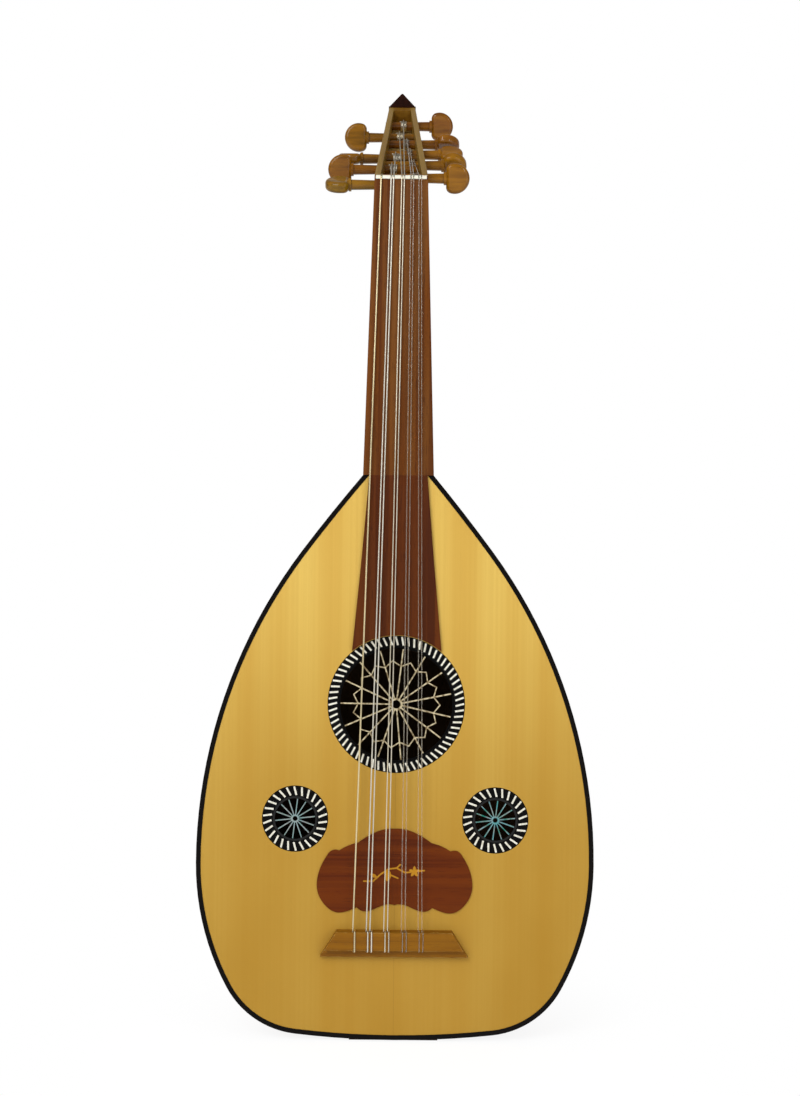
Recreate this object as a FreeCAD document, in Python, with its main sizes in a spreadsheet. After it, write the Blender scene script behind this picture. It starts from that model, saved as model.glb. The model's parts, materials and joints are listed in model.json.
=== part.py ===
import FreeCAD, Part
import math
import os
import Sketcher

# A short-necked fretless lute with a pear-shaped body, a ribbed bowl back and a bent-back pegbox.
# +Z runs up the neck, the strings face -Y and the treble side is +X. Millimetres.
# The origin is on the soundboard's plane, in the middle of the nut's playing edge.

doc = FreeCAD.newDocument("Lute")
sizes = doc.addObject("Spreadsheet::Sheet", "Sizes")

drivingSizes = {
    # body outline
    "neck_length": 240,
    "neck_half_width": 28.7,
    "nut_end_half_width": 21.7,
    "body_half_width": 161.5,
    "widest_below_joint": 315.4,
    "upper_bout_fullness": 0.9637,
    "shoulder_radius": 1400,
    "lower_bout_radius": 212,
    "lower_bout_angle": 28.5,
    "corner_radius": 72.4,
    "tail_radius": 717,
    # bowl and soundboard
    "rib_count": 15,
    "rib_thickness": 2.6,
    "rib_tip_gap": 8,
    "soundboard_thickness": 2,
    "binding_width": 3.8,
    "binding_proud": 0.3,
    "glue_gap": 0.02,
    "end_clasp_radius": 36,
    "end_clasp_thickness": 1.6,
    "neck_block_length": 30,
    "tail_block_width": 60,
    "tail_block_depth": 30,
    "tail_block_height": 12,
    "brace_width": 6,
    "brace_depth": 12,
    "brace_span_share": 0.93,
    "brace_end_gap": 8,
    "rib_blank_margin": 20,
    # rosettes
    "rosette_below_joint": 186,
    "rosette_radius": 55.8,
    "rosette_hole_radius": 47.4,
    "rosette_spokes": 15,
    "rosette_dashes": 68,
    "rosette_turn": 6.7,
    "small_rosette_below_joint": 279.5,
    "small_rosette_across": 81.3,
    "small_rosette_radius": 26.9,
    "small_rosette_hole_radius": 18.3,
    "small_rosette_spokes": 14,
    "small_rosette_dashes": 26,
    "dash_width": 1.5,
    "dash_length": 7.2,
    "dash_tilt": 15,
    "ring_thickness": 0.9,
    "lattice_thickness": 1.5,
    "lattice_sink": 0.3,
    "lattice_rim": 1.8,
    "lattice_gap": 0.1,
    "lattice_hub_radius": 4,
    "lattice_bar_width": 1.05,
    "lattice_web_inner": 31,
    "lattice_web_outer": 35.5,
    "small_lattice_hub_radius": 2.4,
    "small_lattice_bar_width": 0.8,
    # fingerboard, nut and pickguard
    "fingerboard_thickness": 2.2,
    "extension_gap": 0.1,
    "extension_middle_half_width": 29.4,
    "extension_middle_below_joint": 69,
    "extension_end_half_width": 36.4,
    "extension_end_below_joint": 144,
    "extension_rosette_gap": 0.5,
    "nut_half_width": 20.65,
    "nut_height": 3.2,
    "nut_thickness": 3.6,
    "nut_round": 3,
    "pickguard_below_joint": 318.5,
    "pickguard_thickness": 1,
    "inlay_thickness": 0.5,
    "stem_half_width": 0.65,
    "stem_joint_radius": 0.62,
    "flower_radius": 4.6,
    "petal_bulge": 1.2,
    # bridge and strings
    "bridge_below_joint": 369,
    "bridge_front_half_width": 46.8,
    "bridge_back_half_width": 60,
    "bridge_length": 21,
    "bridge_block_length": 14.7,
    "bridge_height": 9.5,
    "bridge_apron_height": 4.5,
    "string_hole_height": 7,
    "string_hole_clearance": 0.15,
    "string_hole_run": 2,
    "string_loop_spacing": 0.15,
    "string_loop_end_height": 4.8,
    "string_bend_radius": 12,
    "bridge_pair_spacing": 3,
    "nut_pair_spacing": 2.1,
    "slot_clearance": 0.06,
    "slot_seat_share": 0.15,
    "slot_run_share": 0.03,
    "winding_share": 1.5,
    "winding_shaft_narrowing": 0.3,
    # pegbox
    "pegbox_lean": 56,
    "pegbox_length": 190,
    "pegbox_root_half_width": 21.6,
    "pegbox_end_half_width": 12,
    "cheek_thickness": 4.6,
    "cheek_root_depth": 20,
    "cheek_root_margin": 2,
    "cheek_deepest": 27,
    "cheek_deepest_place": 24,
    "cheek_end_depth": 16.5,
    "floor_thickness": 3.2,
    "end_block_length": 8.5,
    "end_block_inset": 0.6,
    "floor_end_inset": 1,
    "trim_margin": 10,
    "finial_plate": 2.5,
    "finial_plate_lip": 0.5,
    "finial_tip_half_width": 0.6,
    "finial_height": 8,
    "finial_rise": 9,
    # pegs
    "peg_big_radius": 4.2,
    "peg_taper": 0.02,
    "peg_running_clearance": 0.05,
    "peg_end_overhang": 1.5,
    "peg_head_stand_off": 14.5,
    "peg_collar_radius": 5.4,
    "peg_collar_length": 2,
    "peg_head_radius": 12.4,
    "peg_head_flat": 7.2,
    "peg_head_thickness": 9,
    "peg_head_corner": 5,
    "peg_head_round": 3.2,
    "peg_tenon_shoulder": 1.2,
    "peg_tenon_step": 0.2,
    "peg_tenon_narrowing": 0.6,
    "peg_tenon_straight": 5,
    "peg_tenon_tip": 7,
    "bore_tool_length": 200,
}

# Each peg: its distance from the pegbox's root, the side its head is on, how far the head's flat face is
# turned from facing the same way as the soundboard, and how much further out than usual the peg stands.
pegs = [
    {"place": 16, "side": -1, "turn": 60, "out": 6},
    {"place": 32, "side": 1, "turn": 14, "out": 1},
    {"place": 51, "side": -1, "turn": -14, "out": 7},
    {"place": 62, "side": 1, "turn": 58, "out": 1},
    {"place": 77, "side": -1, "turn": 74, "out": 1},
    {"place": 88, "side": 1, "turn": -52, "out": 0},
    {"place": 113.5, "side": 1, "turn": 76, "out": -1},
    {"place": 131, "side": -1, "turn": -8, "out": 0},
    {"place": 162, "side": 1, "turn": 14, "out": -3},
]

# Each string from the bass side: thickness, the course it belongs to, its place in the pair, its peg
# and how far across the peg it winds.
strings = [
    {"width": 1.4, "course": 1, "pair": 0, "peg": 1, "across": -12.6},
    {"width": 1.2, "course": 2, "pair": -0.5, "peg": 3, "across": -8.2},
    {"width": 1.2, "course": 2, "pair": 0.5, "peg": 5, "across": -5.2},
    {"width": 1.0, "course": 3, "pair": -0.5, "peg": 8, "across": -2.4},
    {"width": 1.0, "course": 3, "pair": 0.5, "peg": 9, "across": 1.2},
    {"width": 0.9, "course": 4, "pair": -0.5, "peg": 7, "across": 4.4},
    {"width": 0.9, "course": 4, "pair": 0.5, "peg": 6, "across": 7.2},
    {"width": 0.75, "course": 5, "pair": -0.5, "peg": 4, "across": 10.2},
    {"width": 0.75, "course": 5, "pair": 0.5, "peg": 2, "across": 12.4},
]
courseAtBridge = [-33.3, -21.0, -6.9, 7.3, 20.9, 33.4]
courseAtNut = [-16.2, -7.1, 1.5, 9.0, 15.3]
bracesBelowJoint = [55, 92, 122, 245, 330, 362, 405]


def lettered(name, index):
    # A sheet alias takes no figures, so members of a row are told apart by letters.
    return name + "_" + "abcdefghijk"[index]


for index, peg in enumerate(pegs):
    drivingSizes[lettered("peg_place", index)] = peg["place"]
    drivingSizes[lettered("peg_out", index)] = peg["out"]
for index, string in enumerate(strings):
    drivingSizes[lettered("string_width", index)] = string["width"]
for name, row in (("bridge_course", courseAtBridge), ("nut_course", courseAtNut),
                  ("brace_place", bracesBelowJoint)):
    for index, place in enumerate(row):
        drivingSizes[lettered(name, index)] = place

derivedSizes = {
    "widest_drop": "neck_length + widest_below_joint",
    "string_length": "neck_length + bridge_below_joint",
    "bout_spread": "body_half_width - neck_half_width",
    "upper_bout_radius": "upper_bout_fullness * (bout_spread^2 + widest_below_joint^2) / (2 * bout_spread)",
    "upper_centre_across": "body_half_width - upper_bout_radius",
    "joint_reach": "sqrt(widest_below_joint^2 + (neck_half_width - upper_centre_across)^2)",
    "radius_step": "shoulder_radius - upper_bout_radius",
    "joint_bearing": "atan(widest_below_joint / (neck_half_width - upper_centre_across)) / 1 deg",
    "centre_bearing": "acos((joint_reach^2 + radius_step^2 - shoulder_radius^2)"
                      " / (2 * joint_reach * radius_step)) / 1 deg",
    "upper_bout_angle": "joint_bearing + centre_bearing - 180",
    "shoulder_centre_across": "upper_centre_across - radius_step * cos(upper_bout_angle * 1 deg)",
    "shoulder_centre_drop": "widest_drop + radius_step * sin(upper_bout_angle * 1 deg)",
    "lower_centre_across": "body_half_width - lower_bout_radius",
    "corner_centre_across": "lower_centre_across"
                            " + (lower_bout_radius - corner_radius) * cos(lower_bout_angle * 1 deg)",
    "corner_centre_drop": "widest_drop + (lower_bout_radius - corner_radius) * sin(lower_bout_angle * 1 deg)",
    "tail_centre_drop": "corner_centre_drop"
                        " - sqrt((tail_radius - corner_radius)^2 - corner_centre_across^2)",
    "tail_drop": "tail_centre_drop + tail_radius",
    "extension_top_half_width": "shoulder_centre_across"
                                " + sqrt((shoulder_radius - binding_width - extension_gap)^2"
                                " - (shoulder_centre_drop - neck_length)^2)",
    "rib_half_angle": "90 / rib_count",
    "rib_inset": "body_half_width * (1 - cos(rib_half_angle * 1 deg))",
    "cheek_slope": "(pegbox_root_half_width - pegbox_end_half_width) / pegbox_length",
    "cheek_lean": "atan(cheek_slope) / 1 deg",
    "floor_root_half_width": "pegbox_root_half_width - cheek_thickness / cos(cheek_lean * 1 deg) - glue_gap",
    "depth_fall": "(cheek_deepest - cheek_end_depth) / (pegbox_length - cheek_deepest_place)",
}

row = 1
for name, number in drivingSizes.items():
    sizes.set("A%d" % row, name)
    sizes.set("B%d" % row, str(number))
    sizes.setAlias("B%d" % row, name)
    row += 1
doc.recompute()
for name, formula in derivedSizes.items():
    sizes.set("A%d" % row, name)
    sizes.set("B%d" % row, "=" + formula)
    sizes.setAlias("B%d" % row, name)
    doc.recompute()
    row += 1

allNames = sorted(list(drivingSizes) + list(derivedSizes), key=len, reverse=True)


def linked(expression):
    # Puts the sheet's name before each size, so that any object can use the expression.
    text = ""
    word = ""
    for letter in expression + " ":
        if letter.isalpha() or letter == "_":
            word += letter
        else:
            text += ("Sizes." + word if word in allNames else word) + letter
            word = ""
    return text.strip()


def value(expression):
    result = sizes.evalExpression(linked(str(expression)))
    return float(getattr(result, "Value", result))


def bind(thing, prop, expression):
    thing.setExpression(prop, linked(str(expression)))


def newBody(name):
    body = doc.addObject("PartDesign::Body", name)
    body.Label = name
    body.AllowCompound = True
    return body


def newSketch(body, name, plane):
    sketch = body.newObject("Sketcher::SketchObject", name)
    origin = next(feature for feature in body.Origin.OriginFeatures if feature.Role == plane)
    sketch.AttachmentSupport = [(origin, "")]
    sketch.MapMode = "FlatFace"
    return sketch


def constrain(sketch, kind, *details, by=None):
    if by is None:
        return sketch.addConstraint(Sketcher.Constraint(kind, *details))
    index = sketch.addConstraint(Sketcher.Constraint(kind, *details, value(by)))
    bind(sketch, "Constraints[%d]" % index, by)
    return index


def pinPoint(sketch, geometry, vertex, across, up):
    # Holds one point of a sketch at two expressions measured from the sketch's origin.
    for kind, axis, expression in (("DistanceX", -2, across), ("DistanceY", -1, up)):
        place = value(expression)
        if abs(place) < 1e-9:
            constrain(sketch, "PointOnObject", geometry, vertex, axis)
        elif place > 0:
            constrain(sketch, kind, -1, 1, geometry, vertex, by=expression)
        else:
            constrain(sketch, kind, geometry, vertex, -1, 1, by="-(%s)" % expression)


def addPolygon(sketch, corners):
    places = [FreeCAD.Vector(value(across), value(up), 0) for across, up in corners]
    first = sketch.GeometryCount
    count = len(corners)
    for index in range(count):
        sketch.addGeometry(Part.LineSegment(places[index], places[(index + 1) % count]))
    for index in range(count):
        constrain(sketch, "Coincident", first + index, 2, first + (index + 1) % count, 1)
    for index, (across, up) in enumerate(corners):
        pinPoint(sketch, first + index, 1, across, up)


def addCircle(sketch, across, up, radius):
    centre = FreeCAD.Vector(value(across), value(up), 0)
    circle = sketch.addGeometry(Part.Circle(centre, FreeCAD.Vector(0, 0, 1), value(radius)))
    pinPoint(sketch, circle, 3, across, up)
    constrain(sketch, "Radius", circle, by=radius)


def arc(across, up, radius, first, last):
    circle = Part.Circle(FreeCAD.Vector(across, up, 0), FreeCAD.Vector(0, 0, 1), radius)
    return Part.ArcOfCircle(circle, first, last)


def addPearChain(sketch, inset):
    # Half of the pear outline as tangent arcs, moved inwards by the inset. Returns its neck end and tail end.
    shift = value(inset)
    upAngle = math.radians(value("upper_bout_angle"))
    downAngle = math.radians(value("lower_bout_angle"))
    shoulderRadius = value("shoulder_radius") - shift
    neckRise = value("shoulder_centre_drop - neck_length") / shoulderRadius
    tailAngle = -math.atan2(value("corner_centre_drop - tail_centre_drop"), value("corner_centre_across"))
    drop = -value("widest_drop")
    upper = sketch.addGeometry(
        arc(value("upper_centre_across"), drop, value("upper_bout_radius") - shift, 0, upAngle))
    shoulder = sketch.addGeometry(
        arc(value("shoulder_centre_across"), -value("shoulder_centre_drop"), shoulderRadius, upAngle,
            math.asin(neckRise)))
    lower = sketch.addGeometry(
        arc(value("lower_centre_across"), drop, value("lower_bout_radius") - shift, -downAngle, 0))
    corner = sketch.addGeometry(
        arc(value("corner_centre_across"), -value("corner_centre_drop"), value("corner_radius") - shift,
            tailAngle, -downAngle))
    tail = sketch.addGeometry(
        arc(0, -value("tail_centre_drop"), value("tail_radius") - shift, -math.pi / 2, tailAngle))
    pinPoint(sketch, upper, 1, "body_half_width - (%s)" % inset, "-widest_drop")
    constrain(sketch, "Horizontal", upper, 3, upper, 1)
    constrain(sketch, "Radius", upper, by="upper_bout_radius - (%s)" % inset)
    constrain(sketch, "Tangent", upper, 2, shoulder, 1)
    constrain(sketch, "Radius", shoulder, by="shoulder_radius - (%s)" % inset)
    constrain(sketch, "DistanceY", shoulder, 3, -1, 1, by="shoulder_centre_drop")
    constrain(sketch, "DistanceY", shoulder, 2, -1, 1, by="neck_length")
    constrain(sketch, "Coincident", lower, 2, upper, 1)
    constrain(sketch, "Horizontal", lower, 3, lower, 2)
    constrain(sketch, "Radius", lower, by="lower_bout_radius - (%s)" % inset)
    constrain(sketch, "Tangent", lower, 1, corner, 2)
    constrain(sketch, "Radius", corner, by="corner_radius - (%s)" % inset)
    constrain(sketch, "DistanceY", corner, 3, -1, 1, by="corner_centre_drop")
    constrain(sketch, "Tangent", corner, 1, tail, 2)
    constrain(sketch, "Radius", tail, by="tail_radius - (%s)" % inset)
    constrain(sketch, "PointOnObject", tail, 3, -2)
    constrain(sketch, "PointOnObject", tail, 1, -2)
    return (shoulder, 2), (tail, 1)


def sketchPoint(sketch, place):
    return sketch.getPoint(place[0], place[1])


def joinPoints(sketch, start, end):
    line = sketch.addGeometry(Part.LineSegment(sketchPoint(sketch, start), sketchPoint(sketch, end)))
    constrain(sketch, "Coincident", line, 1, *start)
    constrain(sketch, "Coincident", line, 2, *end)
    return line


def addPearRing(sketch, outerInset, innerInset):
    outerNeck, outerTail = addPearChain(sketch, outerInset)
    innerNeck, innerTail = addPearChain(sketch, innerInset)
    joinPoints(sketch, outerNeck, innerNeck)
    joinPoints(sketch, outerTail, innerTail)


def addPad(body, sketch, length, back=False, middle=False):
    pad = body.newObject("PartDesign::Pad", body.Name + "Pad%d" % len(body.Group))
    pad.Profile = sketch
    bind(pad, "Length", length)
    pad.Reversed = back
    pad.Midplane = middle
    sketch.Visibility = False
    doc.recompute()
    return pad


def addPocket(body, sketch, length=None, middle=False, back=False):
    pocket = body.newObject("PartDesign::Pocket", body.Name + "Pocket%d" % len(body.Group))
    pocket.Profile = sketch
    if length is None:
        pocket.Type = "ThroughAll"
    else:
        bind(pocket, "Length", length)
    pocket.Midplane = middle
    pocket.Reversed = back
    doc.recompute()
    return pocket


def addMirror(body, original):
    mirror = body.newObject("PartDesign::Mirrored", body.Name + "Mirror")
    mirror.Originals = [original]
    plane = next(feature for feature in body.Origin.OriginFeatures if feature.Role == "YZ_Plane")
    mirror.MirrorPlane = (plane, [""])
    body.Tip = mirror
    doc.recompute()
    return mirror


def addPolar(body, originals, count):
    polar = body.newObject("PartDesign::PolarPattern", body.Name + "Polar%d" % len(body.Group))
    polar.Originals = originals
    axis = next(feature for feature in body.Origin.OriginFeatures if feature.Role == "Y_Axis")
    polar.Axis = (axis, [""])
    polar.Angle = 360
    bind(polar, "Occurrences", count)
    body.Tip = polar
    doc.recompute()
    return polar


def moveTo(thing, across="0", deep="0", up="0"):
    for axis, expression in (("x", across), ("y", deep), ("z", up)):
        bind(thing, "Placement.Base." + axis, expression)


def primitive(kind, name, **expressions):
    thing = doc.addObject("Part::" + kind, name)
    thing.Label = name
    for prop, expression in expressions.items():
        bind(thing, prop, expression)
    return thing


def turned(axis, angle):
    return FreeCAD.Placement(FreeCAD.Vector(), FreeCAD.Rotation(FreeCAD.Vector(*axis), angle))


def fuse(name, parts):
    joined = doc.addObject("Part::MultiFuse", name)
    joined.Label = name
    joined.Shapes = parts
    return joined


def cut(name, base, tool):
    result = doc.addObject("Part::Cut", name)
    result.Label = name
    result.Base = base
    result.Tool = tool
    return result


def shapeFeature(name, shape):
    feature = doc.addObject("Part::Feature", name)
    feature.Label = name
    feature.Shape = shape
    return feature


nodes = []


def keep(thing):
    nodes.append(thing)
    return thing


# Soundboard and its black edge binding.

def makeSoundboard():
    body = newBody("soundboard")
    half = newSketch(body, "soundboardHalf", "XZ_Plane")
    neckEnd, tailEnd = addPearChain(half, "binding_width + glue_gap")
    top = half.addGeometry(Part.LineSegment(sketchPoint(half, neckEnd),
                                            FreeCAD.Vector(0, -value("neck_length"), 0)))
    constrain(half, "Coincident", top, 1, *neckEnd)
    pinPoint(half, top, 2, "0", "-neck_length")
    joinPoints(half, (top, 2), tailEnd)
    addMirror(body, addPad(body, half, "soundboard_thickness", back=True))
    holes = newSketch(body, "soundHoles", "XZ_Plane")
    recesses = newSketch(body, "ringRecesses", "XZ_Plane")
    for side in ("-", "0 * ", ""):
        size = "rosette" if side == "0 * " else "small_rosette"
        across = side + "small_rosette_across"
        drop = "-neck_length - %s_below_joint" % size
        addCircle(holes, across, drop, size + "_hole_radius")
        addCircle(recesses, across, drop, size + "_radius")
    addPocket(body, holes, back=False)
    addPocket(body, recesses, "ring_thickness")
    return keep(body)


def makeBinding():
    body = newBody("edge_binding")
    half = newSketch(body, "bindingHalf", "XZ_Plane")
    addPearRing(half, "0", "binding_width")
    addMirror(body, addPad(body, half, "soundboard_thickness + binding_proud", back=True))
    moveTo(body, deep="-binding_proud")
    return keep(body)


# Bowl: flat-across ribs bent along the pear profile, each cut to its wedge.

def makeRib(index):
    name = "rib_%02d" % (index + 1)
    body = newBody(name)
    profile = newSketch(body, name + "Profile", "XZ_Plane")
    addPearRing(profile, "rib_inset", "rib_inset + rib_thickness")
    addPad(body, profile, "2.4 * body_half_width * tan(rib_half_angle * 1 deg)", middle=True)
    wedge = newSketch(body, name + "Wedge", "XY_Plane")
    reach = "(body_half_width + rib_blank_margin)"
    slope = "tan(rib_half_angle * 1 deg)"
    far = reach + " + rib_blank_margin"
    addPolygon(wedge, [("-rib_blank_margin", "-body_half_width"), (far, "-body_half_width"),
                       (far, "body_half_width"), ("-rib_blank_margin", "body_half_width")])
    addPolygon(wedge, [("rib_tip_gap", "-rib_tip_gap * " + slope), (reach, "-%s * %s" % (reach, slope)),
                       (reach, "%s * %s" % (reach, slope)), ("rib_tip_gap", "rib_tip_gap * " + slope)])
    addPocket(body, wedge)
    body.Placement = turned((0, 0, 1), (2 * index + 1) * value("rib_half_angle"))
    bind(body, "Placement.Rotation.Angle", "%d * rib_half_angle" % (2 * index + 1))
    bind(body, "Placement.Base.y", "soundboard_thickness")
    return keep(body)


def makeBlocks():
    clasp = primitive("Cylinder", "end_clasp", Radius="end_clasp_radius", Height="end_clasp_thickness")
    clasp.Angle = 180
    moveTo(clasp, deep="soundboard_thickness + glue_gap",
           up="rib_inset - tail_drop - glue_gap - end_clasp_thickness")
    block = primitive("Cone", "neck_block", Height="neck_block_length")
    inner = "(shoulder_centre_across + sqrt((shoulder_radius - rib_inset - rib_thickness - glue_gap)^2" \
            " - (shoulder_centre_drop - neck_length%s)^2))"
    bind(block, "Radius2", inner % "")
    bind(block, "Radius1", inner % " - neck_block_length")
    block.Angle = 180
    moveTo(block, deep="soundboard_thickness + glue_gap", up="-neck_length - neck_block_length")
    tail = primitive("Box", "tail_block", Length="tail_block_width", Width="tail_block_depth",
                     Height="tail_block_height")
    moveTo(tail, across="-tail_block_width / 2", deep="soundboard_thickness + glue_gap",
           up="rib_inset + rib_thickness - tail_drop + (tail_block_width / 2)^2 / tail_radius")
    bars = []
    for index in range(len(bracesBelowJoint)):
        # Each bar spans most of the body at its own place, read off the nearest outline arc.
        below = lettered("brace_place", index)
        bout = "upper" if value(below) < value("widest_below_joint") else "lower"
        outline = "BOUT_centre_across + sqrt(BOUT_bout_radius^2 - (widest_below_joint - %s)^2)" % below
        reach = "(brace_span_share * (%s) - brace_end_gap)" % outline.replace("BOUT", bout)
        bar = primitive("Box", "brace_%d" % (index + 1), Length="2 * " + reach, Width="brace_depth",
                        Height="brace_width")
        moveTo(bar, across="-" + reach, deep="soundboard_thickness",
               up="-neck_length - %s - brace_width / 2" % below)
        bars.append(bar)
    braces = doc.addObject("Part::Compound", "soundboard_braces")
    braces.Label = "soundboard_braces"
    braces.Links = bars
    for thing in (clasp, block, tail, braces):
        keep(thing)


# Rosettes: an open lattice, a black ring round it and white dashes let into the ring.

def addDash(sketch, middleRadius):
    # A rectangle standing across the ring, leaning from the radial direction.
    lean = "dash_tilt * 1 deg"
    corners = []
    for alongSign, acrossSign in ((1, 1), (1, -1), (-1, -1), (-1, 1)):
        across = "%d * dash_width / 2 * cos(%s) - (%d) * dash_length / 2 * sin(%s)" % (
            acrossSign, lean, alongSign, lean)
        up = "%s + (%d) * dash_length / 2 * cos(%s) + (%d) * dash_width / 2 * sin(%s)" % (
            middleRadius, alongSign, lean, acrossSign, lean)
        corners.append((across, up))
    addPolygon(sketch, corners)


def makeDashes(name, size):
    body = newBody(name)
    sketch = newSketch(body, name + "Dash", "XZ_Plane")
    addDash(sketch, "(%s_radius + %s_hole_radius) / 2" % (size, size))
    addPolar(body, [addPad(body, sketch, "ring_thickness", back=True)], size + "_dashes")
    return body


def makeRing(name, size):
    body = newBody(name)
    ring = newSketch(body, name + "Ring", "XZ_Plane")
    addCircle(ring, "0", "0", size + "_radius - glue_gap")
    addCircle(ring, "0", "0", size + "_hole_radius")
    addPad(body, ring, "ring_thickness", back=True)
    slot = newSketch(body, name + "Slot", "XZ_Plane")
    addDash(slot, "(%s_radius + %s_hole_radius) / 2" % (size, size))
    addPolar(body, [addPocket(body, slot)], size + "_dashes")
    return body


def makeLattice(name, size):
    # Spokes from a hub ring to the rim; the large one's are tied by a zigzag web between two radii.
    hubRadius = size.replace("rosette", "lattice") + "_hub_radius"
    barWidth = size.replace("rosette", "lattice") + "_bar_width"
    body = newBody(name)
    rim = newSketch(body, name + "Rim", "XZ_Plane")
    addCircle(rim, "0", "0", size + "_hole_radius - lattice_gap")
    addCircle(rim, "0", "0", size + "_hole_radius - lattice_rim")
    addPad(body, rim, "lattice_thickness", back=True)
    spoke = newSketch(body, name + "Spoke", "XZ_Plane")
    half = "%s / 2" % barWidth
    top = size + "_hole_radius - lattice_rim / 2"
    addPolygon(spoke, [("-" + half, hubRadius), (half, hubRadius), (half, top), ("-" + half, top)])
    patterned = [addPad(body, spoke, "lattice_thickness", back=True)]
    if size == "rosette":
        patterned.append(addWeb(body, half))
    polar = addPolar(body, patterned, size + "_spokes")
    hub = newSketch(body, name + "Hub", "XZ_Plane")
    addCircle(hub, "0", "0", "%s + %s" % (hubRadius, barWidth))
    addCircle(hub, "0", "0", "%s - %s" % (hubRadius, half))
    body.Tip = polar
    addPad(body, hub, "lattice_thickness", back=True)
    return body


def addWeb(body, half):
    # One chevron of the web, its foot on a spoke and its tips half-way to the next ones.
    web = newSketch(body, body.Name + "Web", "XZ_Plane")
    step = "180 / rosette_spokes * 1 deg"
    low = "(lattice_web_outer - %s)" % half
    high = "(lattice_web_outer + %s)" % half
    addPolygon(web, [("0", "lattice_web_inner - " + half),
                     ("%s * sin(%s)" % (low, step), "%s * cos(%s)" % (low, step)),
                     ("%s * sin(%s)" % (high, step), "%s * cos(%s)" % (high, step)),
                     ("0", "lattice_web_inner + " + half),
                     ("-%s * sin(%s)" % (high, step), "%s * cos(%s)" % (high, step)),
                     ("-%s * sin(%s)" % (low, step), "%s * cos(%s)" % (low, step))])
    return addPad(body, web, "lattice_thickness", back=True)


def makeRosettes():
    places = [("rosette", "0", "large"), ("small_rosette", "-small_rosette_across", "small_left"),
              ("small_rosette", "small_rosette_across", "small_right")]
    smallDashes = []
    for size, across, ending in places:
        up = "-neck_length - %s_below_joint" % size
        ring = makeRing("rosette_ring_" + ending, size)
        dashes = makeDashes("rosette_dashes_" + ending, size)
        lattice = makeLattice("rosette_" + ending, size)
        if size == "rosette":
            keep(dashes)
        else:
            smallDashes.append(dashes)
        for thing in (ring, dashes):
            moveTo(thing, across=across, up=up)
        lattice.Placement = turned((0, 1, 0), value("rosette_turn"))
        moveTo(lattice, across=across, deep="lattice_sink", up=up)
        keep(ring)
        keep(lattice)
    both = doc.addObject("Part::Compound", "rosette_dashes_small")
    both.Label = "rosette_dashes_small"
    both.Links = smallDashes
    keep(both)


# Neck, fingerboard and its extension, nut.

def pegboxPlacement():
    return FreeCAD.Placement(FreeCAD.Vector(0, 0, value("nut_thickness")),
                             FreeCAD.Rotation(FreeCAD.Vector(1, 0, 0), -value("pegbox_lean")))


def placeInPegbox(thing, local=FreeCAD.Placement()):
    thing.Placement = pegboxPlacement().multiply(local)
    return thing


def makeNeck():
    half = primitive("Cone", "neckHalfRound", Radius1="neck_half_width", Radius2="nut_end_half_width",
                     Height="neck_length + nut_thickness")
    half.Angle = 180
    moveTo(half, up="-neck_length")
    pegboxSpace = primitive("Box", "pegboxSpace", Length="4 * neck_half_width", Width="8 * neck_half_width",
                            Height="4 * neck_half_width")
    start = FreeCAD.Vector(-2 * value("neck_half_width"), -4 * value("neck_half_width"), 0)
    placeInPegbox(pegboxSpace, FreeCAD.Placement(start, FreeCAD.Rotation()))
    keep(cut("neck", half, pegboxSpace))
    board = newBody("fingerboard")
    plan = newSketch(board, "fingerboardPlan", "XZ_Plane")
    addPolygon(plan, [("-nut_end_half_width", "0"), ("nut_end_half_width", "0"),
                      ("neck_half_width", "-neck_length"), ("-neck_half_width", "-neck_length")])
    addPad(board, plan, "fingerboard_thickness")
    keep(board)
    extension = newBody("fingerboard_extension")
    plan = newSketch(extension, "extensionPlan", "XZ_Plane")
    middle = "-neck_length - extension_middle_below_joint"
    end = "-neck_length - extension_end_below_joint"
    addPolygon(plan, [("-extension_top_half_width", "-neck_length"),
                      ("extension_top_half_width", "-neck_length"),
                      ("extension_middle_half_width", middle), ("extension_end_half_width", end),
                      ("-extension_end_half_width", end), ("-extension_middle_half_width", middle)])
    addPad(extension, plan, "fingerboard_thickness")
    clearing = newSketch(extension, "rosetteClearing", "XZ_Plane")
    addCircle(clearing, "0", "-neck_length - rosette_below_joint", "rosette_radius + extension_rosette_gap")
    addPocket(extension, clearing, back=True)
    keep(extension)


def edgeNamesAt(shape, test):
    return ["Edge%d" % number for number, edge in enumerate(shape.Edges, 1) if test(edge)]


def addFillet(body, base, radius, test):
    names = edgeNamesAt(base.Shape, test)
    fillet = body.newObject("PartDesign::Fillet", body.Name + "Fillet%d" % len(body.Group))
    fillet.Base = (base, names)
    bind(fillet, "Radius", radius)
    doc.recompute()
    return fillet


def makeNut(slotTools):
    body = newBody("nutBlank")
    profile = newSketch(body, "nutProfile", "YZ_Plane")
    addPolygon(profile, [("0", "0"), ("0", "nut_thickness"), ("-nut_height", "nut_thickness"),
                         ("-nut_height", "0")])
    pad = addPad(body, profile, "2 * nut_half_width", middle=True)
    backTop = FreeCAD.Vector(0, -value("nut_height"), value("nut_thickness"))
    addFillet(body, pad, "nut_round",
              lambda edge: edge.CenterOfMass.distanceToPoint(backTop) < 0.01)
    keep(cut("nut", body, slotTools))


# Pickguard with a small branch let into it.

def smoothCurve(points, mirrored=False):
    sign = -1 if mirrored else 1
    places = [FreeCAD.Vector(sign * across, 0, up) for across, up in points]
    curve = Part.BSplineCurve()
    curve.interpolate(places)
    return curve.toShape()


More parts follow.
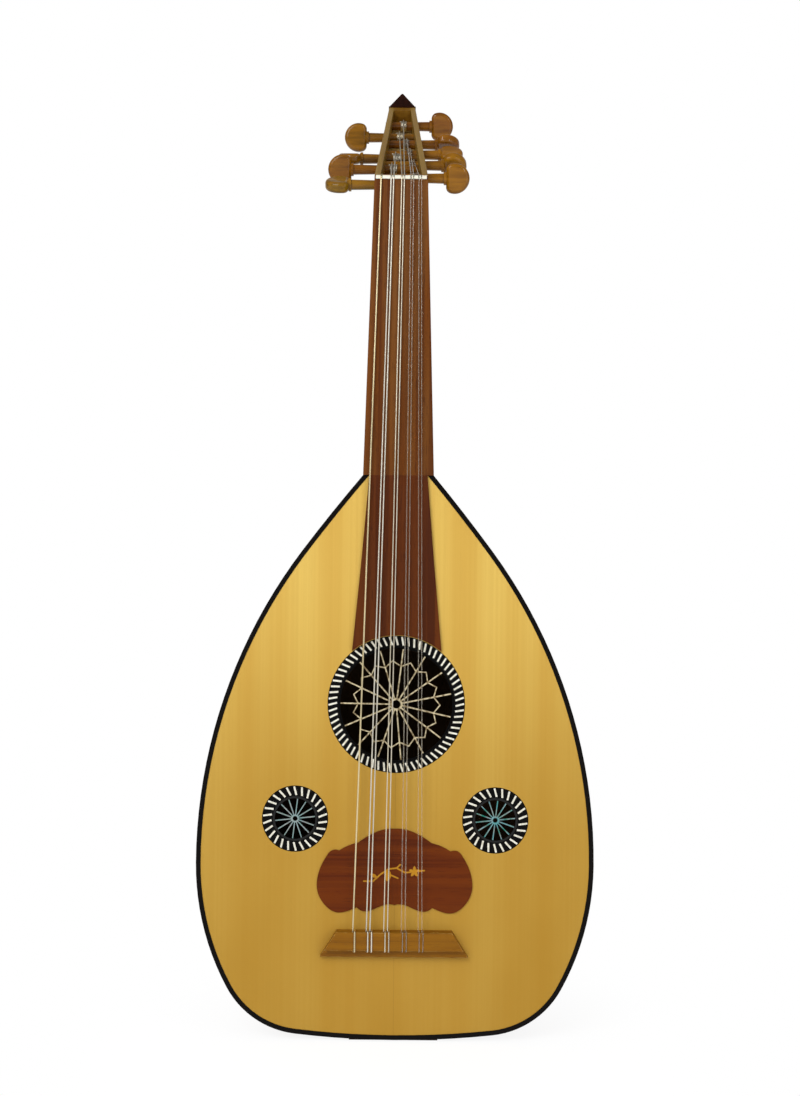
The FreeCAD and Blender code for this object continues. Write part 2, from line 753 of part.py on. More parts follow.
def makePickguard():
    # Half of the outline as smooth stretches between its corners, around the pickguard's centre.
    stretches = [
        [(0, 31.6), (8, 31.1), (18, 27.6), (29.8, 20.1)],
        [(29.8, 20.1), (34, 19), (45.1, 13.6)],
        [(45.1, 13.6), (50.6, 13.8), (55.1, 9.3)],
        [(55.1, 9.3), (62, -5.6), (62.6, -19), (57, -30), (47, -36.5), (37, -35), (30.7, -32.2)],
        [(30.7, -32.2), (23.5, -35.5), (12.6, -31.8), (0, -30.3)],
    ]
    edges = [smoothCurve(points) for points in stretches]
    edges += [smoothCurve(points, mirrored=True) for points in stretches]
    outline = Part.Wire(Part.__sortEdges__(edges))
    face = shapeFeature("pickguardOutline", Part.Face(outline))
    blank = doc.addObject("Part::Extrusion", "pickguardBlank")
    blank.Base = face
    blank.Dir = FreeCAD.Vector(0, -1, 0)
    blank.DirMode = "Custom"
    bind(blank, "LengthFwd", "pickguard_thickness")
    blank.Solid = True
    moveTo(blank, up="-neck_length - pickguard_below_joint")

    stem = [(-25, -11), (-17.5, -11), (-11, -5), (-5, -1), (1.5, -0.2), (8.5, -3.8), (13, -3.4)]
    twigs = [[(1.5, -0.2), (4.5, 2.6)], [(-3, -6), (2.6, -8.4)], [(15, -3), (24, -2)]]
    leaves = [((-5, -1.5), (-6, -11), 2.6), ((-14, -8), (-20, -5), 1.4)]
    flower = (16, -3)
    pieces = []
    for run in [stem] + twigs:
        for start, end in zip(run, run[1:]):
            pieces.append(stemFace(start, end, value("stem_half_width")))
        for across, up in run:
            joint = Part.makeCircle(value("stem_joint_radius"), FreeCAD.Vector(across, 0, up),
                                    FreeCAD.Vector(0, 1, 0))
            pieces.append(Part.Face(Part.Wire(joint)))
    pieces += [leafFace(start, end, bulge) for start, end, bulge in leaves]
    for turn in range(5):
        angle = math.radians(72 * turn + 18)
        tip = (flower[0] + value("flower_radius") * math.cos(angle),
               flower[1] + value("flower_radius") * math.sin(angle))
        pieces.append(leafFace(flower, tip, value("petal_bulge")))
    branch = pieces[0].multiFuse(pieces[1:]).removeSplitter()
    branchFace = shapeFeature("branchOutline", branch)
    inlay = doc.addObject("Part::Extrusion", "pickguard_inlay")
    inlay.Label = "pickguard_inlay"
    inlay.Base = branchFace
    inlay.Dir = FreeCAD.Vector(0, 1, 0)
    inlay.DirMode = "Custom"
    bind(inlay, "LengthFwd", "inlay_thickness")
    inlay.Solid = True
    moveTo(inlay, deep="-pickguard_thickness", up="-neck_length - pickguard_below_joint")
    keep(cut("pickguard", blank, inlay))
    keep(inlay)


def endsAndSide(start, end):
    # Both ends as points on the soundboard's plane, and the direction across the line between them.
    first = FreeCAD.Vector(start[0], 0, start[1])
    last = FreeCAD.Vector(end[0], 0, end[1])
    along = last - first
    return first, last, FreeCAD.Vector(-along.z, 0, along.x).normalize()


def stemFace(start, end, halfWidth):
    first, last, side = endsAndSide(start, end)
    corners = [first + side * halfWidth, last + side * halfWidth, last - side * halfWidth,
               first - side * halfWidth]
    return Part.Face(Part.makePolygon(corners + corners[:1]))


def leafFace(start, end, bulge):
    first, last, side = endsAndSide(start, end)
    middle = (first + last) * 0.5
    upper = Part.Arc(first, middle + side * bulge, last).toShape()
    lower = Part.Arc(last, middle - side * bulge, first).toShape()
    return Part.Face(Part.Wire([upper, lower]))


# Bridge: a drilled block with a lower apron behind it.

def bridgePlaces():
    # Across-places of the string holes: one bass string, then five pairs.
    places = [lettered("bridge_course", 0)]
    for index in range(1, len(courseAtBridge)):
        places.append(lettered("bridge_course", index) + " - bridge_pair_spacing / 2")
        places.append(lettered("bridge_course", index) + " + bridge_pair_spacing / 2")
    return places


def makeBridge():
    body = newBody("bridge")
    plan = newSketch(body, "bridgePlan", "XZ_Plane")
    addPolygon(plan, [("-bridge_front_half_width", "0"), ("bridge_front_half_width", "0"),
                      ("bridge_back_half_width", "-bridge_length"),
                      ("-bridge_back_half_width", "-bridge_length")])
    addPad(body, plan, "bridge_height")
    step = newSketch(body, "bridgeStep", "YZ_Plane")
    addPolygon(step, [("-bridge_apron_height", "-bridge_block_length"),
                      ("-bridge_apron_height", "-2 * bridge_length"),
                      ("-2 * bridge_height", "-2 * bridge_length"),
                      ("-2 * bridge_height", "-bridge_block_length")])
    addPocket(body, step, "3 * bridge_back_half_width", middle=True)
    holes = newSketch(body, "stringHoles", "XY_Plane")
    for index, across in enumerate(bridgePlaces()):
        width = lettered("string_width", min(index, len(strings) - 1))
        addCircle(holes, across, "-string_hole_height", "%s / 2 + string_hole_clearance" % width)
    addPocket(body, holes)
    moveTo(body, up="-string_length")
    keep(body)


# Pegbox: two cheeks, floor, end block and finial.

def cheekDepthAt(place):
    # Depth of the pegbox's side at a distance from its root, past the deepest place.
    return "(cheek_deepest - depth_fall * (%s - cheek_deepest_place))" % place


def pegPlace(number):
    return lettered("peg_place", number - 1)


def pegDepth(number):
    return cheekDepthAt(pegPlace(number)) + " / 2"


def makeCheek(name, side, bores):
    body = newBody(name + "Blank")
    view = newSketch(body, name + "View", "YZ_Plane")
    addPolygon(view, [("0", "-cheek_root_margin"), ("0", "pegbox_length"),
                      ("cheek_end_depth", "pegbox_length"), ("cheek_deepest", "cheek_deepest_place"),
                      ("cheek_root_depth", "-cheek_root_margin")])
    addPad(body, view, "cheek_thickness", back=side > 0)
    start = FreeCAD.Placement(FreeCAD.Vector(side * value("pegbox_root_half_width"), 0, 0),
                              FreeCAD.Rotation(FreeCAD.Vector(0, 1, 0), -side * value("cheek_lean")))
    placeInPegbox(body, start)
    keep(cut(name, body, bores))


def boreTool(number):
    # A cone a little larger than the peg's shaft, running through both cheeks.
    peg = pegs[number - 1]
    radius = "peg_big_radius + peg_running_clearance - peg_taper * (%s %s bore_tool_length / 2)"
    tool = primitive("Cone", "bore_%02d" % number, Height="bore_tool_length",
                     Radius1=radius % (shaftStart(number), "+"), Radius2=radius % (shaftStart(number), "-"))
    quarter = FreeCAD.Rotation(FreeCAD.Vector(0, 1, 0), 90 * peg["side"])
    middle = FreeCAD.Vector(0, value(pegDepth(number)), value(pegPlace(number)))
    local = FreeCAD.Placement(middle, quarter).multiply(
        FreeCAD.Placement(FreeCAD.Vector(0, 0, -value("bore_tool_length / 2")), FreeCAD.Rotation()))
    return placeInPegbox(tool, local)


def outerHalfWidth(number):
    return "(pegbox_root_half_width - cheek_slope * %s)" % pegPlace(number)


def shaftStart(number):
    # How far the peg's collar stands from the pegbox's middle.
    return "(%s + peg_head_stand_off + %s)" % (outerHalfWidth(number), lettered("peg_out", number - 1))


def makePegbox():
    bores = [boreTool(number) for number in range(1, len(pegs) + 1)]
    root = primitive("Box", "pegboxRoot", Length="4 * neck_half_width", Width="4 * neck_half_width",
                     Height="neck_half_width")
    start = FreeCAD.Vector(-2 * value("neck_half_width"), -2 * value("neck_half_width"),
                           -value("neck_half_width"))
    placeInPegbox(root, FreeCAD.Placement(start, FreeCAD.Rotation()))
    tools = fuse("pegboxCuts", bores + [root])
    makeCheek("pegbox_cheek_left", -1, tools)
    makeCheek("pegbox_cheek_right", 1, tools)

    floor = newBody("pegbox_back")
    view = newSketch(floor, "floorView", "YZ_Plane")
    addPolygon(view, [("cheek_root_depth", "0"), ("cheek_deepest", "cheek_deepest_place"),
                      ("cheek_end_depth", "pegbox_length - floor_end_inset"),
                      ("cheek_end_depth - floor_thickness", "pegbox_length - floor_end_inset"),
                      ("cheek_deepest - floor_thickness", "cheek_deepest_place"),
                      ("cheek_root_depth - floor_thickness", "0")])
    addPad(floor, view, "3 * pegbox_root_half_width", middle=True)
    trim = newSketch(floor, "floorTrim", "XZ_Plane")
    wide, below, above = "2 * pegbox_root_half_width", "-2 * trim_margin", "pegbox_length + 2 * trim_margin"
    addPolygon(trim, [("-" + wide, below), (wide, below), (wide, above), ("-" + wide, above)])
    rootHalf = "(floor_root_half_width + cheek_slope * trim_margin)"
    endHalf = "(floor_root_half_width - cheek_slope * (pegbox_length + trim_margin))"
    end = "pegbox_length + trim_margin"
    addPolygon(trim, [("-" + rootHalf, "-trim_margin"), (rootHalf, "-trim_margin"),
                      (endHalf, end), ("-" + endHalf, end)])
    addPocket(floor, trim, "4 * cheek_deepest", middle=True)
    keep(placeInPegbox(floor))

    block = newBody("pegbox_end_block")
    plan = newSketch(block, "endBlockPlan", "XZ_Plane")
    low = "(pegbox_length - end_block_inset - end_block_length)"
    high = "(pegbox_length - end_block_inset)"
    lowHalf = "(floor_root_half_width - cheek_slope * %s)" % low
    highHalf = "(floor_root_half_width - cheek_slope * %s)" % high
    addPolygon(plan, [("-" + lowHalf, low), (lowHalf, low), (highHalf, high), ("-" + highHalf, high)])
    addPad(block, plan, "cheek_end_depth - floor_thickness - glue_gap", back=True)
    keep(placeInPegbox(block))

    plate = primitive("Box", "finialPlate", Length="2 * (pegbox_end_half_width + finial_plate_lip)",
                      Width="cheek_end_depth + finial_plate_lip", Height="finial_plate")
    corner = FreeCAD.Vector(-value("pegbox_end_half_width + finial_plate_lip"),
                            -value("finial_plate_lip / 2"), value("pegbox_length"))
    placeInPegbox(plate, FreeCAD.Placement(corner, FreeCAD.Rotation()))
    point = primitive("Wedge", "finialPoint", Xmin="-pegbox_end_half_width", Xmax="pegbox_end_half_width",
                      Ymin="0", Ymax="finial_height", Zmin="-cheek_end_depth", Zmax="0",
                      X2min="-finial_tip_half_width", X2max="finial_tip_half_width",
                      Z2min="finial_rise - finial_tip_half_width",
                      Z2max="finial_rise + finial_tip_half_width")
    foot = FreeCAD.Vector(0, 0, value("pegbox_length + finial_plate"))
    placeInPegbox(point, FreeCAD.Placement(foot, FreeCAD.Rotation(FreeCAD.Vector(1, 0, 0), 90)))
    keep(fuse("finial", [plate, point]))


# Pegs.

def makePeg(number):
    # Local +X points out of the pegbox to the head, and the head's flat lies in local XY before it is turned.
    peg = pegs[number - 1]
    name = "peg_%02d" % number
    body = newBody(name)
    collar = shaftStart(number)
    headStart = "(%s + peg_collar_length)" % collar
    headCentre = "(%s + peg_head_flat)" % headStart
    head = newSketch(body, name + "Head", "XY_Plane")
    cutAngle = math.acos(value("peg_head_flat / peg_head_radius"))
    rim = head.addGeometry(arc(value(headCentre), 0, value("peg_head_radius"), cutAngle - math.pi,
                               math.pi - cutAngle))
    pinPoint(head, rim, 3, headCentre, "0")
    constrain(head, "Radius", rim, by="peg_head_radius")
    flat = joinPoints(head, (rim, 2), (rim, 1))
    constrain(head, "Vertical", flat)
    constrain(head, "DistanceX", -1, 1, flat, 1, by=headStart)
    pad = addPad(body, head, "peg_head_thickness", middle=True)
    corners = addFillet(body, pad, "peg_head_corner", lambda edge: abs(edge.CenterOfMass.z) < 0.01)
    addFillet(body, corners, "peg_head_round", lambda edge: abs(edge.CenterOfMass.z) > 0.01)
    turning = newSketch(body, name + "Turning", "XY_Plane")
    end = "-(%s + peg_end_overhang)" % outerHalfWidth(number)
    endRadius = "peg_big_radius - peg_taper * (%s - (%s))" % (collar, end)
    addPolygon(turning, [(end, "0"), (end, endRadius), (collar, "peg_big_radius"),
                         (collar, "peg_collar_radius"), (headStart, "peg_collar_radius"),
                         (headStart + " + peg_tenon_shoulder", "peg_big_radius - peg_tenon_step"),
                         (headStart + " + peg_tenon_straight", "peg_big_radius - peg_tenon_narrowing"),
                         (headStart + " + peg_tenon_tip", "0")])
    revolution = body.newObject("PartDesign::Revolution", name + "Revolution")
    revolution.Profile = turning
    revolution.ReferenceAxis = (turning, ["H_Axis"])
    revolution.Angle = 360
    doc.recompute()
    sideTurn = FreeCAD.Rotation(FreeCAD.Vector(0, 0, 1), 0 if peg["side"] > 0 else 180)
    headTurn = FreeCAD.Rotation(FreeCAD.Vector(1, 0, 0),
                                peg["turn"] + 90 + peg["side"] * value("pegbox_lean"))
    middle = FreeCAD.Vector(0, value(pegDepth(number)), value(pegPlace(number)))
    placeInPegbox(body, FreeCAD.Placement(middle, sideTurn.multiply(headTurn)))
    keep(body)


# Strings: one unbroken run each, from the tie at the bridge over the nut to the peg.

def cordWire(points, radii):
    # Straight runs joined by tangent arcs at every inner point.
    edges = []
    start = points[0]
    for index in range(1, len(points) - 1):
        before = (points[index - 1] - points[index]).normalize()
        after = (points[index + 1] - points[index]).normalize()
        half = before.getAngle(after) / 2
        setback = radii[index - 1] / math.tan(half)
        bisector = (before + after).normalize()
        first = points[index] + before * setback
        last = points[index] + after * setback
        middle = points[index] + bisector * (radii[index - 1] / math.sin(half) - radii[index - 1])
        edges.append(Part.LineSegment(start, first).toShape())
        edges.append(Part.Arc(first, middle, last).toShape())
        start = last
    edges.append(Part.LineSegment(start, points[-1]).toShape())
    return Part.Wire(edges)


def cordSolid(wire, radius):
    startEdge = wire.Edges[0]
    direction = startEdge.tangentAt(startEdge.FirstParameter)
    ring = Part.Wire(Part.Circle(startEdge.valueAt(startEdge.FirstParameter), direction, radius).toShape())
    return wire.makePipeShell([ring], True, False)


def pegLine(number, across):
    # World place of a point on a peg's axis.
    local = FreeCAD.Vector(across, value(pegDepth(number)), value(pegPlace(number)))
    return pegboxPlacement().multVec(local)


def nutBend(string):
    # The bend over the nut: its radius, the slope of the run behind it, and where that run starts and ends.
    # The string lies in its slot to about a third of its thickness.
    radius = value("nut_round") + value("slot_seat_share") * string["width"]
    centreDeep = value("nut_round - nut_height")
    centreUp = value("nut_thickness - nut_round")
    axis = pegLine(string["peg"], string["across"])
    shaftRadius = value("peg_big_radius - winding_shaft_narrowing")
    shaftRadius += value("winding_share") * string["width"]
    deep = axis.y - centreDeep
    up = axis.z - centreUp
    reach = math.hypot(deep, up)
    # Outer common tangent of the nut's round and the wound shaft, on the side away from the bowl.
    bearing = math.atan2(deep, up)
    swing = math.asin((radius - shaftRadius) / reach)
    slope = bearing + swing
    normal = (-math.cos(slope), math.sin(slope))
    leave = (centreDeep + radius * normal[0], centreUp + radius * normal[1])
    arrive = (axis.y + shaftRadius * normal[0], axis.z + shaftRadius * normal[1])
    return radius, slope, leave, arrive


def makeStrings():
    tools = []
    for index, string in enumerate(strings):
        width = value(lettered("string_width", index))
        acrossBridge = value(bridgePlaces()[index])
        acrossNut = value(lettered("nut_course", string["course"] - 1))
        acrossNut += string["pair"] * value("nut_pair_spacing")
        radius, slope, leave, arrive = nutBend(string)
        bridgeUp = -value("string_length")
        holeDeep = -value("string_hole_height")
        # The playing run is taken flat over the nut; the corner is where it meets the pegbox run.
        cornerDeep = value("nut_round - nut_height") - radius
        cornerUp = leave[1] + (cornerDeep - leave[0]) / math.tan(slope)
        gap = width / 2 + value("slot_clearance")
        loopAcross = acrossBridge + width + value("string_loop_spacing")
        frontUp = bridgeUp + gap
        backUp = bridgeUp - value("bridge_block_length") - gap
        topDeep = -value("bridge_height") - gap
        points = [
            FreeCAD.Vector(loopAcross, -value("string_loop_end_height"), frontUp),
            FreeCAD.Vector(loopAcross, topDeep, frontUp),
            FreeCAD.Vector(loopAcross, topDeep, backUp),
            FreeCAD.Vector(acrossBridge, holeDeep, backUp),
            FreeCAD.Vector(acrossBridge, holeDeep, bridgeUp + value("string_hole_run")),
            FreeCAD.Vector(acrossNut, cornerDeep, cornerUp),
            FreeCAD.Vector(string["across"], arrive[0], arrive[1]),
        ]
        loopRadius = width / 2 + value("string_loop_spacing")
        radii = [loopRadius, loopRadius, loopRadius, value("string_bend_radius"), radius]
        wire = cordWire(points, radii)
        solid = cordSolid(wire, width / 2)
        keep(shapeFeature("string_%02d" % (index + 1), solid))
        print("string", index + 1, "length", round(wire.Length, 1), "volume share",
              round(solid.Volume / (math.pi * width * width / 4 * wire.Length), 4))
        beforeNut = points[5] + (points[4] - points[5]) * value("slot_run_share")
        nearNut = cordWire([beforeNut] + points[5:], [radius])
        slotRadius = width / 2 + value("slot_clearance")
        slot = shapeFeature("slot_%02d" % (index + 1), cordSolid(nearNut, slotRadius))
        tools.append(slot)
    return fuse("nutSlots", tools)


makeSoundboard()
makeBinding()
for ribIndex in range(int(value("rib_count"))):
    makeRib(ribIndex)
makeBlocks()
makeRosettes()
makeNeck()
makePickguard()
makeBridge()
makePegbox()
for pegNumber in range(1, len(pegs) + 1):
    makePeg(pegNumber)
makeNut(makeStrings())
doc.recompute()

for thing in doc.Objects:
    for state in ("Invalid", "Error"):
        if state in thing.State:
            raise RuntimeError("%s is %s" % (thing.Name, state))
for node in nodes:
    if node.Shape.isNull() or not node.Shape.isValid() or node.Shape.Volume <= 0:
        raise RuntimeError("bad shape in " + node.Label)

os.makedirs("parts", exist_ok=True)
for node in nodes:
    node.Shape.exportStep("parts/%s.step" % node.Label)
    box = node.Shape.BoundBox
    print("%-24s solids %2d volume %10.1f  x %7.1f %7.1f  y %7.1f %7.1f  z %7.1f %7.1f" % (
        node.Label, len(node.Shape.Solids), node.Shape.Volume, box.XMin, box.XMax, box.YMin, box.YMax,
        box.ZMin, box.ZMax))
print(len(nodes), "nodes")
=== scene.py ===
import json
import math

import bpy
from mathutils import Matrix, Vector


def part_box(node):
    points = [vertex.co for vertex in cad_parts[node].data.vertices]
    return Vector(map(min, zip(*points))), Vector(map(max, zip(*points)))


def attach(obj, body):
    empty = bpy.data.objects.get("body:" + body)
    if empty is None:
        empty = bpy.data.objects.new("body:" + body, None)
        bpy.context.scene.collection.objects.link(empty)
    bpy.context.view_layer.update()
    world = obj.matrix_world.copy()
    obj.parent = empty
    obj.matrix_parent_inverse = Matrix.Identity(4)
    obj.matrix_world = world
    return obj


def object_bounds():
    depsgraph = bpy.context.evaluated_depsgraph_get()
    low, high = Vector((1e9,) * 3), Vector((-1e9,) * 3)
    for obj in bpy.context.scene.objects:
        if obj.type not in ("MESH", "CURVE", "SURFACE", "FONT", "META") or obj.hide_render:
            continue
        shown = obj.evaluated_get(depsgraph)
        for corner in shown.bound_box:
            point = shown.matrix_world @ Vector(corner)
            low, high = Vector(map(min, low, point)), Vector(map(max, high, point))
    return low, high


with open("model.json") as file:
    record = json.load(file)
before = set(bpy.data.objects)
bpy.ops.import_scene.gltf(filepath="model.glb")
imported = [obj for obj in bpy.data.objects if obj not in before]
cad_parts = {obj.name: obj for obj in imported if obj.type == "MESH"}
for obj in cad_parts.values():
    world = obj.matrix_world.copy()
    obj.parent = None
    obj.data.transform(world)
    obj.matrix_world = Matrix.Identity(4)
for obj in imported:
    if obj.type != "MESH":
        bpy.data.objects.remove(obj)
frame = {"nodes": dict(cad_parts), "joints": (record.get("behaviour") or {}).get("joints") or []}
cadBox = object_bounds()
nodes = frame["nodes"]
scene = bpy.context.scene
print("frame loaded:", len(nodes), "CAD nodes")


def linearColour(hexCode):
    parts = [int(hexCode[i:i + 2], 16) / 255 for i in (1, 3, 5)]
    return tuple(c / 12.92 if c <= 0.04045 else ((c + 0.055) / 1.055) ** 2.4 for c in parts) + (1,)


def addNode(tree, kind, settings, sockets):
    # settings are the node's own choices; a socket takes a value, or the output that feeds it
    node = tree.nodes.new("ShaderNode" + kind)
    for name, setting in settings.items():
        setattr(node, name, setting)
    for name, given in sockets.items():
        if isinstance(given, bpy.types.NodeSocket):
            tree.links.new(given, node.inputs[name])
        else:
            node.inputs[name].default_value = given
    return node


def startMaterial(name):
    # Every pattern is placed in the object's own metres, so it stays put when a peg turns.
    material = bpy.data.materials.new(name)
    material.use_nodes = True
    tree = material.node_tree
    tree.nodes.clear()
    shader = addNode(tree, "BsdfPrincipled", {}, {})
    addNode(tree, "OutputMaterial", {}, {"Surface": shader.outputs["BSDF"]})
    place = addNode(tree, "TexCoord", {}, {}).outputs["Object"]
    return material, tree, shader, place


def blendColours(tree, share, first, second):
    mixed = addNode(tree, "Mix", {"data_type": "RGBA"}, {0: share, 6: first, 7: second})
    return mixed.outputs[2]


def arithmetic(tree, operation, *numbers):
    return addNode(tree, "Math", {"operation": operation}, dict(enumerate(numbers))).outputs[0]


def speckle(tree, place, across, along, axis, low, high, detail=2):
    # A noise with features of real size: across and along the grain, in millimetres.
    # Where it passes low it starts to show, and from high on it shows in full.
    scale = [1000 / across] * 3
    scale["XYZ".index(axis)] = 1000 / along
    stretched = addNode(tree, "VectorMath", {"operation": "MULTIPLY"}, {0: place, 1: scale})
    noise = addNode(tree, "TexNoise", {}, {"Vector": stretched.outputs["Vector"], "Scale": 1,
                                           "Detail": detail, "Roughness": 0.55, "Distortion": 0.1})
    shown = addNode(tree, "MapRange", {"interpolation_type": "SMOOTHSTEP"},
                    {"Value": noise.outputs[0], "From Min": low, "From Max": high})
    return shown.outputs["Result"]


# How far a surface turns from its neighbour before it counts as a rubbed arris, and how handled wood is worn:
# patches along the arris and wider polished and dull zones, in millimetres.
arris = {"wornFrom": 0.995, "wornTo": 0.9}
handling = {"patchWidth": 3, "patchLength": 9, "zoneWidth": 40, "zoneLength": 60, "grainRelief": 0.35,
            "polished": -0.05, "dulled": 0.07}


def roundedEdge(tree, radius):
    # The normal of a softly rounded arris, and where that arris is, for wear.
    soft = addNode(tree, "Bevel", {"samples": 4}, {"Radius": radius / 1000}).outputs["Normal"]
    flat = addNode(tree, "NewGeometry", {}, {}).outputs["Normal"]
    facing = addNode(tree, "VectorMath", {"operation": "DOT_PRODUCT"}, {0: soft, 1: flat}).outputs["Value"]
    worn = addNode(tree, "MapRange", {}, {"Value": facing, "From Min": arris["wornFrom"],
                                          "From Max": arris["wornTo"], "To Min": 0, "To Max": 1})
    return soft, worn.outputs["Result"]


def woodTones(tree, place, wood):
    # Growth rings, wider tonal bands of the board and short dark pores, in that order.
    axis = wood["axis"]
    rings = speckle(tree, place, wood["ringWidth"], wood["ringLength"], axis, 0.38, 0.64)
    bands = speckle(tree, place, wood["bandWidth"], wood["bandLength"], axis, 0.36, 0.66, 1)
    pores = speckle(tree, place, wood["poreWidth"], wood["poreLength"], axis, 0.58, 0.72)
    ringShare = arithmetic(tree, "MULTIPLY", rings, wood["ringShare"])
    bandShare = arithmetic(tree, "MULTIPLY", bands, wood["bandShare"])
    poreShare = arithmetic(tree, "MULTIPLY", pores, wood["poreShare"])
    tone = blendColours(tree, ringShare, linearColour(wood["early"]), linearColour(wood["late"]))
    tone = blendColours(tree, bandShare, tone, linearColour(wood["band"]))
    tone = blendColours(tree, poreShare, tone, linearColour(wood["pore"]))
    height = arithmetic(tree, "SUBTRACT", ringShare, pores)
    return tone, height


def finishWood(tree, shader, place, tone, height, wood):
    edgeNormal, worn = roundedEdge(tree, wood["edgeRadius"])
    wear = speckle(tree, place, handling["patchWidth"], handling["patchLength"], wood["axis"], 0.35, 0.65)
    wearShare = arithmetic(tree, "MULTIPLY", arithmetic(tree, "MULTIPLY", worn, wear), wood["wearShare"])
    tone = blendColours(tree, wearShare, tone, linearColour(wood["worn"]))
    relief = addNode(tree, "Bump", {}, {"Height": height, "Strength": handling["grainRelief"],
                                        "Distance": wood["relief"] / 1000, "Normal": edgeNormal})
    handled = speckle(tree, place, handling["zoneWidth"], handling["zoneLength"], wood["axis"], 0.3, 0.7)
    roughness = addNode(tree, "MapRange", {},
                        {"Value": handled, "To Min": wood["roughness"] + handling["polished"],
                         "To Max": wood["roughness"] + handling["dulled"]})
    tree.links.new(tone, shader.inputs["Base Color"])
    tree.links.new(relief.outputs["Normal"], shader.inputs["Normal"])
    tree.links.new(roughness.outputs["Result"], shader.inputs["Roughness"])
    shader.inputs["IOR"].default_value = 1.5
    shader.inputs["Specular IOR Level"].default_value = wood["shine"]
    shader.inputs["Coat Weight"].default_value = wood["coat"]
    shader.inputs["Coat Roughness"].default_value = wood["coatRoughness"]
    shader.inputs["Coat IOR"].default_value = 1.5


def woodMaterial(name, wood):
    material, tree, shader, place = startMaterial(name)
    if wood.get("lean"):
        turned = addNode(tree, "VectorRotate", {"rotation_type": "X_AXIS"},
                         {"Vector": place, "Angle": math.radians(wood["lean"])})
        place = turned.outputs["Vector"]
    tone, height = woodTones(tree, place, wood)
    finishWood(tree, shader, place, tone, height, wood)
    return material


def paint(material, *names):
    for name in names:
        mesh = nodes[name].data
        mesh.materials.clear()
        mesh.materials.append(material)


# Soundboard: quarter-sawn spruce, scraped and French polished. Straight fine lines, book-matched about a
# centre joint, darker and more amber towards the tail.
spruce = {
    "early": "#DEBA5C", "late": "#BC8D36", "band": "#C99A3C", "pore": "#B98A35", "worn": "#E6C982",
    "axis": "Z",
    "ringWidth": 3.4, "ringLength": 1100,     # the real lines are 1 to 1.5 mm apart, too fine to show
    "bandWidth": 34, "bandLength": 1900,
    "poreWidth": 1.2, "poreLength": 130,
    "ringShare": 0.15, "bandShare": 0.55, "poreShare": 0.08,
    "relief": 0.05, "roughness": 0.44, "shine": 0.18, "coat": 0.0, "coatRoughness": 0.3,
    "edgeRadius": 0.3, "wearShare": 0.1,
    "tailTone": "#A97B1C", "tailToneFrom": -0.31, "tailToneTo": -0.55, "tailToneShare": 0.8,
    "cloudWidth": 120, "cloudLength": 240, "cloudShare": 0.25,
    "jointWidth": 0.3, "joint": "#8A6424", "jointShare": 0.5,
    "halfShift": 0.23,                        # metres of grain between the two halves, alike but not equal
}


def soundboardMaterial(wood):
    material, tree, shader, place = startMaterial("French polished quarter-sawn spruce")
    parts = addNode(tree, "SeparateXYZ", {}, {"Vector": place}).outputs
    mirrored = arithmetic(tree, "ABSOLUTE", parts["X"])
    half = arithmetic(tree, "GREATER_THAN", parts["X"], 0)
    shifted = arithmetic(tree, "MULTIPLY_ADD", half, wood["halfShift"], parts["Z"])
    matched = addNode(tree, "CombineXYZ", {}, {"X": mirrored, "Y": parts["Y"], "Z": shifted})
    matched = matched.outputs["Vector"]
    tone, height = woodTones(tree, matched, wood)
    # The board's colour is painted darker and more amber towards the tail, unevenly in broad clouds.
    towardsTail = addNode(tree, "MapRange", {"interpolation_type": "SMOOTHSTEP"},
                     {"Value": parts["Z"], "From Min": wood["tailToneFrom"], "From Max": wood["tailToneTo"]})
    cloud = speckle(tree, place, wood["cloudWidth"], wood["cloudLength"], "Z", 0.25, 0.75)
    cloudShare = arithmetic(tree, "MULTIPLY_ADD", cloud, wood["cloudShare"], 1 - wood["cloudShare"])
    clouded = arithmetic(tree, "MULTIPLY", towardsTail.outputs["Result"], cloudShare)
    tailToneShare = arithmetic(tree, "MULTIPLY", clouded, wood["tailToneShare"])
    tone = blendColours(tree, tailToneShare, tone, linearColour(wood["tailTone"]))
    seam = arithmetic(tree, "LESS_THAN", mirrored, wood["jointWidth"] / 2000)
    seamShare = arithmetic(tree, "MULTIPLY", seam, wood["jointShare"])
    tone = blendColours(tree, seamShare, tone, linearColour(wood["joint"]))
    finishWood(tree, shader, place, tone, height, wood)
    return material


paint(soundboardMaterial(spruce), "soundboard")

# Binding round the soundboard: ebonised pear, burnished. Nearly black, a soft line of light on its arris.
ebonised = {
    "early": "#0A0706", "late": "#110C08", "band": "#0D0907", "pore": "#050404", "worn": "#33251A",
    "axis": "Z", "ringWidth": 2, "ringLength": 60, "bandWidth": 20, "bandLength": 90,
    "poreWidth": 0.8, "poreLength": 8, "ringShare": 0.6, "bandShare": 0.5, "poreShare": 0.5,
    "relief": 0.04, "roughness": 0.4, "shine": 0.08, "coat": 0.0, "coatRoughness": 0.2, "edgeRadius": 0.6,
    "wearShare": 0.25,
}
paint(woodMaterial("Burnished ebonised pear", ebonised), "edge_binding")

# Fingerboard and the tongue that runs over the soundboard: rosewood, planed and oiled. Red-brown with
# straight dark streaks and open pores, and a dull oil shine.
rosewood = {
    "early": "#6C390A", "late": "#4A1F03", "band": "#7E5222", "pore": "#300F02", "worn": "#8A5426",
    "axis": "Z", "ringWidth": 4.5, "ringLength": 420, "bandWidth": 11, "bandLength": 260,
    "poreWidth": 0.9, "poreLength": 14, "ringShare": 0.75, "bandShare": 0.5, "poreShare": 0.45,
    "relief": 0.05, "roughness": 0.4, "shine": 0.14, "coat": 0.0, "coatRoughness": 0.3, "edgeRadius": 0.5,
    "wearShare": 0.4,
}
paint(woodMaterial("Oiled planed rosewood", rosewood), "fingerboard")
rosewoodTongue = {**rosewood, "early": "#5E2B05", "late": "#3E1602", "band": "#66310A"}
paint(woodMaterial("Oiled rosewood tongue", rosewoodTongue), "fingerboard_extension")

